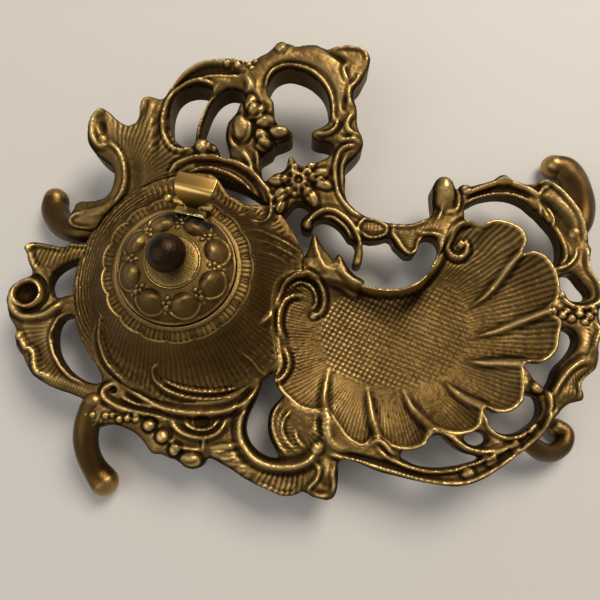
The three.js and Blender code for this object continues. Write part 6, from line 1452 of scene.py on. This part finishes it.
def lidRelief(x, y, z, up):
    r, angle = aroundAxis(x, y)
    onTop = (z >= levelAt(lid["outside"], r) - 0.5) & (r < 20.9)
    out, side = repeated(r, angle, 0)
    a, b = (out - lid["centre"]) / lid["long"], side / lid["wide"]
    height = lid["height"] * np.maximum(1 - a ** 2 - b ** 2, 0) ** 1.1 * (1 - 0.22 * a)
    height = height - 0.15 * bell(np.hypot(a, b), 1, 0.1)
    # a crescent round the outer end of each egg
    out = out - lid["centre"]
    crescent = np.hypot((out + 0.5) / 5.0, side / 5.6)
    way = np.abs(np.arctan2(side, out))
    height = height + 1.2 * bell(crescent, 1, 0.11) * (1 - smooth(way, 1.1, 1.6))
    out, side = repeated(r, angle, 0.5)
    for at, beside, size in lid["buds"]:
        d2 = (out - at) ** 2 + (side - beside) ** 2
        height = np.maximum(height, size * np.sqrt(np.maximum(1 - d2 / (size * 1.15) ** 2, 0)))
    band = smooth(r, 11.2, 12.2) * (1 - smooth(r, 20.8, 21.3))
    return x, y, z + np.where(onTop, height * band, 0)


def stainLid(ob):
    x, y, z = ((readPoints(ob.data) - np.array(corner)) / mm).T
    stain = np.zeros(len(x))
    for (cx, cy), size in lid["stains"]:
        ragged = 1 + 0.25 * np.sin(2.7 * x + cx) * np.sin(3.1 * y)
        stain = np.maximum(stain, 1 - smooth(np.hypot(x - cx, y - cy) * ragged, 0.55 * size, size))
    addLayer(ob.data, "stain", stain * (readPoints(ob.data, "normal")[:, 2] > 0))


ob = spunPiece("lid", lid["outside"], 432, 0.3, lid["inside"])
shapeBy(ob, lidRelief)
wearOfMesh(ob, 12, 0.9, 0.46)
stainLid(ob)
finishPiece(ob, solderedBrass, "lid_shell", body="lid")


# seat ring with the line scribed round it, and the finial: a smooth bullet on a short waisted foot

finial = {
    "seat": [(1.9, 53.2), (9.6, 53.2), (9.9, 53.4), (9.85, 53.6), (9.6, 53.75), (9.45, 53.55), (9.3, 53.55),
             (9.15, 53.85), (8, 54.1), (6, 54.25), (1.9, 54.2)],
    "knob": [(1.9, 54.4), (4.5, 54.35), (4.6, 54.9), (4.1, 55.4), (3.5, 56.1), (3.45, 56.8), (4.1, 57.8),
             (5.4, 59), (6.4, 60.4), (6.75, 61.9), (6.7, 63.4), (6.3, 64.9), (5.5, 66.3), (4.3, 67.7),
             (2.8, 68.7), (1.4, 69.15), (0, 69.3), (0, 60.2), (1.9, 60.2)],
}
ob = spunPiece("finialSeat", finial["seat"], 128, 0.4)
finishPiece(ob, plainBrass, "finial_seat", body="lid")
ob = spunPiece("finialKnob", finial["knob"], 96, 0.5)
finishPiece(ob, darkBronze, "finial", body="lid")


def tubeFaces(rings, sides):
    # quads between rings of points
    faces = []
    for start in range(0, (rings - 1) * sides, sides):
        for j in range(sides):
            a, b = start + j, start + (j + 1) % sides
            faces.append((a, b, b + sides, a + sides))
    return faces


# thumb tab: a strip of sheet brass folded over, narrow at the hinge

thumb = {
    "foot": (78.11, 110.05), "turn": math.radians(14), "thick": 1.2, "round": 0.4, "rows": 72,
    # reach from the foot, level, width
    "way": [(0.1, 50.55, 4.4), (0.9, 51.25, 6.6), (1.9, 52.15, 10.4), (2.9, 53.05, 12.8), (3.7, 53.75, 13.7),
            (4.4, 54.35, 13.9), (5.0, 54.7, 14.1), (5.7, 54.8, 14.3), (6.6, 54.68, 14.7), (8.5, 54.4, 14.9),
            (10.4, 54.12, 14.9), (10.75, 54.07, 14.6)],
    # reach and tone: a painted highlight along the fold and on the top edge, darker where it meets the hinge
    "rubAndHighlight": [(0, 0.1), (2.2, 0.3), (4.2, 0.5), (5.0, 0.95), (5.8, 0.9), (6.6, 0.5), (9, 0.55), (10.8, 0.75)],
}


def thumbTab():
    way = np.array(thumb["way"])
    rows, knots = np.linspace(0, 1, thumb["rows"]), np.linspace(0, 1, len(way))
    way = [np.interp(rows, knots, column) for column in way.T]
    reach, level, width = (smoothRow(a, 5, 2.2, mode="reflect", reflect_type="odd") for a in way)
    slope = np.arctan2(np.gradient(level), np.gradient(reach))
    # the strip's section: side and height of each corner's centre, and the way round it
    quarters = ((1, 1, 0), (-1, 1, 90), (-1, -1, 180), (1, -1, 270))
    section = [(sx, sy, math.radians(a)) for sx, sy, start in quarters for a in range(start, start + 91, 15)]
    sx, sy, a = np.array(section).T
    rings = []
    for o, z, w, t in zip(reach, level, width, slope):
        side = sx * (w / 2 - thumb["round"]) + thumb["round"] * np.cos(a)
        high = sy * (thumb["thick"] / 2 - thumb["round"]) + thumb["round"] * np.sin(a)
        far, up = o - high * math.sin(t), z + high * math.cos(t)
        c, s = math.cos(thumb["turn"]), math.sin(thumb["turn"])
        x, y = thumb["foot"][0] + side * c + far * s, thumb["foot"][1] - side * s + far * c
        rings.append(np.stack([x, y, up], 1))
    n = len(section)
    last = (len(rings) - 1) * n
    faces = tubeFaces(len(rings), n) + [list(range(n))[::-1], list(range(last, last + n))]
    # tone along the tab: a painted highlight at the fold and the top edge, darker towards the hinge
    rubAndHighlight = np.interp(reach, *np.array(thumb["rubAndHighlight"]).T)
    return nameMesh("thumbTab", np.vstack(rings), faces, np.repeat(rubAndHighlight, n))


ob = thumbTab()
outward(ob)
finishPiece(ob, foldedBrass, "thumb_tab", body="lid", angle=35)


# feet: cast scrolls swept along their own curve

# u, v, level and radius
feet = {
    "footBackLeft": dict(node="foot_back_left", path=[
        (0.16, 0.625, 17, 4.6), (0.135, 0.61, 15.6, 5.0), (0.105, 0.603, 13.4, 5.4),
        (0.078, 0.611, 10.8, 5.5), (0.052, 0.634, 8.3, 5.6), (0.036, 0.668, 6.3, 5.7),
        (0.034, 0.696, 5.4, 5.3)]),
    "footFrontLeft": dict(node="foot_front_left", path=[
        (0.154, 0.222, 17, 4.6), (0.142, 0.176, 15.6, 4.9), (0.139, 0.146, 13.4, 5.0),
        (0.143, 0.11, 10, 4.6), (0.152, 0.083, 7, 4.6), (0.165, 0.061, 5.6, 5.6)]),
    "footBackRight": dict(node="foot_back_right", path=[
        (0.965, 0.585, 19, 4.2), (0.985, 0.62, 17.4, 4.8), (0.997, 0.66, 14.6, 5.2), (1.0, 0.7, 11.2, 5.5),
        (0.999, 0.742, 8, 5.8), (0.989, 0.773, 6.2, 5.8), (0.97, 0.782, 5.6, 5.4)]),
    "footFrontRight": dict(node="foot_front_right", path=[
        (0.85, 0.15, 17.4, 3.4), (0.869, 0.133, 15, 3.6), (0.889, 0.122, 11.2, 3.7), (0.911, 0.121, 8, 3.6),
        (0.934, 0.137, 5.2, 3.6), (0.941, 0.161, 3.8, 3.7), (0.929, 0.172, 3.6, 3.6)]),
}


# cast and filed by hand, so nowhere quite round: share out of round, and radians of turn for each mm
sweep = {"sides": 40, "caps": (75, 55, 35, 17), "oval": (0.035, 0.23), "lumpy": (0.016, -0.37)}


def unit(a):
    return a / np.linalg.norm(a, axis=1, keepdims=True)


def sweptPiece(name, path):
    # rings across a smooth curve, closed by round ends
    path, sides = np.array(path), sweep["sides"]
    line = spline(path[:, :3])[:, :2]
    place = np.concatenate([[0], np.cumsum(np.hypot(*np.diff(line, axis=0).T))])
    knots = [np.argmin(np.hypot(*(line - p).T)) for p in path[:, :2] * (tray["length"], tray["depth"])]
    z, r = (smoothRow(np.interp(place, place[knots], a), 9, 4.0, mode="edge") for a in path[:, 2:].T)
    p = np.column_stack([line, z])
    tangent = unit(np.gradient(p, axis=0))
    side = unit(np.cross(tangent, (0, 0, 1)))
    above = np.cross(side, tangent)
    angles = np.linspace(0, 2 * math.pi, sides, endpoint=False)

    def ringAt(i, scale, shift):
        at = place[i] + shift
        (oval, turn), (lumpy, turn3) = sweep["oval"], sweep["lumpy"]
        shape = 1 + oval * np.sin(2 * angles + turn * at) + lumpy * np.sin(3 * angles + turn3 * at + 1)
        out = np.cos(angles)[:, None] * side[i] + np.sin(angles)[:, None] * above[i]
        return p[i] + tangent[i] * shift + r[i] * scale * shape[:, None] * out

    caps = [(math.cos(a), math.sin(a)) for a in np.radians(sweep["caps"])]
    rings = [ringAt(0, c, -s * r[0]) for c, s in caps]
    rings += [ringAt(i, 1, 0) for i in range(len(p))]
    rings += [ringAt(-1, c, s * r[-1]) for c, s in caps[::-1]]
    tips = np.array([p[0] - tangent[0] * r[0], p[-1] + tangent[-1] * r[-1]])
    last, tip = (len(rings) - 1) * sides, len(rings) * sides
    faces = tubeFaces(len(rings), sides)
    for j in range(sides):
        k = (j + 1) % sides
        faces.append((tip, k, j))
        faces.append((tip + 1, last + j, last + k))
    verts = np.vstack(rings + [tips])
    verts[:, 2] = np.maximum(verts[:, 2], 0)
    return nameMesh(name, verts, faces)


for name, item in feet.items():
    ob = sweptPiece(name, item["path"])
    outward(ob)
    wearOfMesh(ob, 12, 0.45, 0.36)
    finishPiece(ob, footBrass, item["node"])

# the pieces that keep their solids
looks = {"ink_insert": glass, "hinge_pin": rubbedBrass, "lid_hinge_leaf": solderedLeaf}
for name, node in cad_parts.items():
    if not node.hide_render:
        node.data.materials.clear()
        node.data.materials.append(looks.get(name, plainBrass))
print("pieces")


# floor, light and camera

# pale glossy table top
floorLook, tree, shader = newMaterial("glossy cream laminate")
shader.inputs["Base Color"].default_value = linear("#bfb9b0")
shader.inputs["Roughness"].default_value = 0.6
shader.inputs["Specular IOR Level"].default_value = 0.25
bpy.ops.object.select_all(action="DESELECT")
bpy.ops.mesh.primitive_plane_add(size=6)
floor = bpy.context.object
floor.name = "floor"
floor.data.materials.append(floorLook)

# place and size in m, power in W
lights = {
    "window": dict(at=(0.42, 0.6, 0.95), size=0.6, power=14, color="#fff8ef"),
    "fill": dict(at=(-0.7, -0.3, 0.8), size=1.0, power=4, color="#eef3ff"),
}
for name, item in lights.items():
    bpy.ops.object.light_add(type="AREA", location=item["at"])
    lamp = bpy.context.object
    lamp.name = name
    lamp.data.size = item["size"]
    lamp.data.energy = item["power"]
    lamp.data.color = linear(item["color"])[:3]
    lamp.rotation_euler = (-Vector(item["at"])).to_track_quat("-Z", "Y").to_euler()

world = bpy.data.worlds.new("room")
bpy.context.scene.world = world
world.use_nodes = True
background = world.node_tree.nodes["Background"]
background.inputs["Color"].default_value = linear("#ebe9e6")
background.inputs["Strength"].default_value = 0.45

# a hand-held camera over the tray: place in the tray's mm, tilt in degrees
view = {"at": (117.5, 29.0, 244.0), "tilt": 13.5, "lens": 34.2, "sensor": 36}
camera = bpy.data.objects.new("camera", bpy.data.cameras.new("camera"))
bpy.context.scene.collection.objects.link(camera)
bpy.context.scene.camera = camera
camera.data.sensor_width = view["sensor"]
camera.data.lens = view["lens"]
camera.location = corner + Vector(view["at"]) * mm
camera.rotation_euler = (math.radians(view["tilt"]), 0, 0)
bpy.context.scene.view_settings.view_transform = "Standard"
print("light and camera")
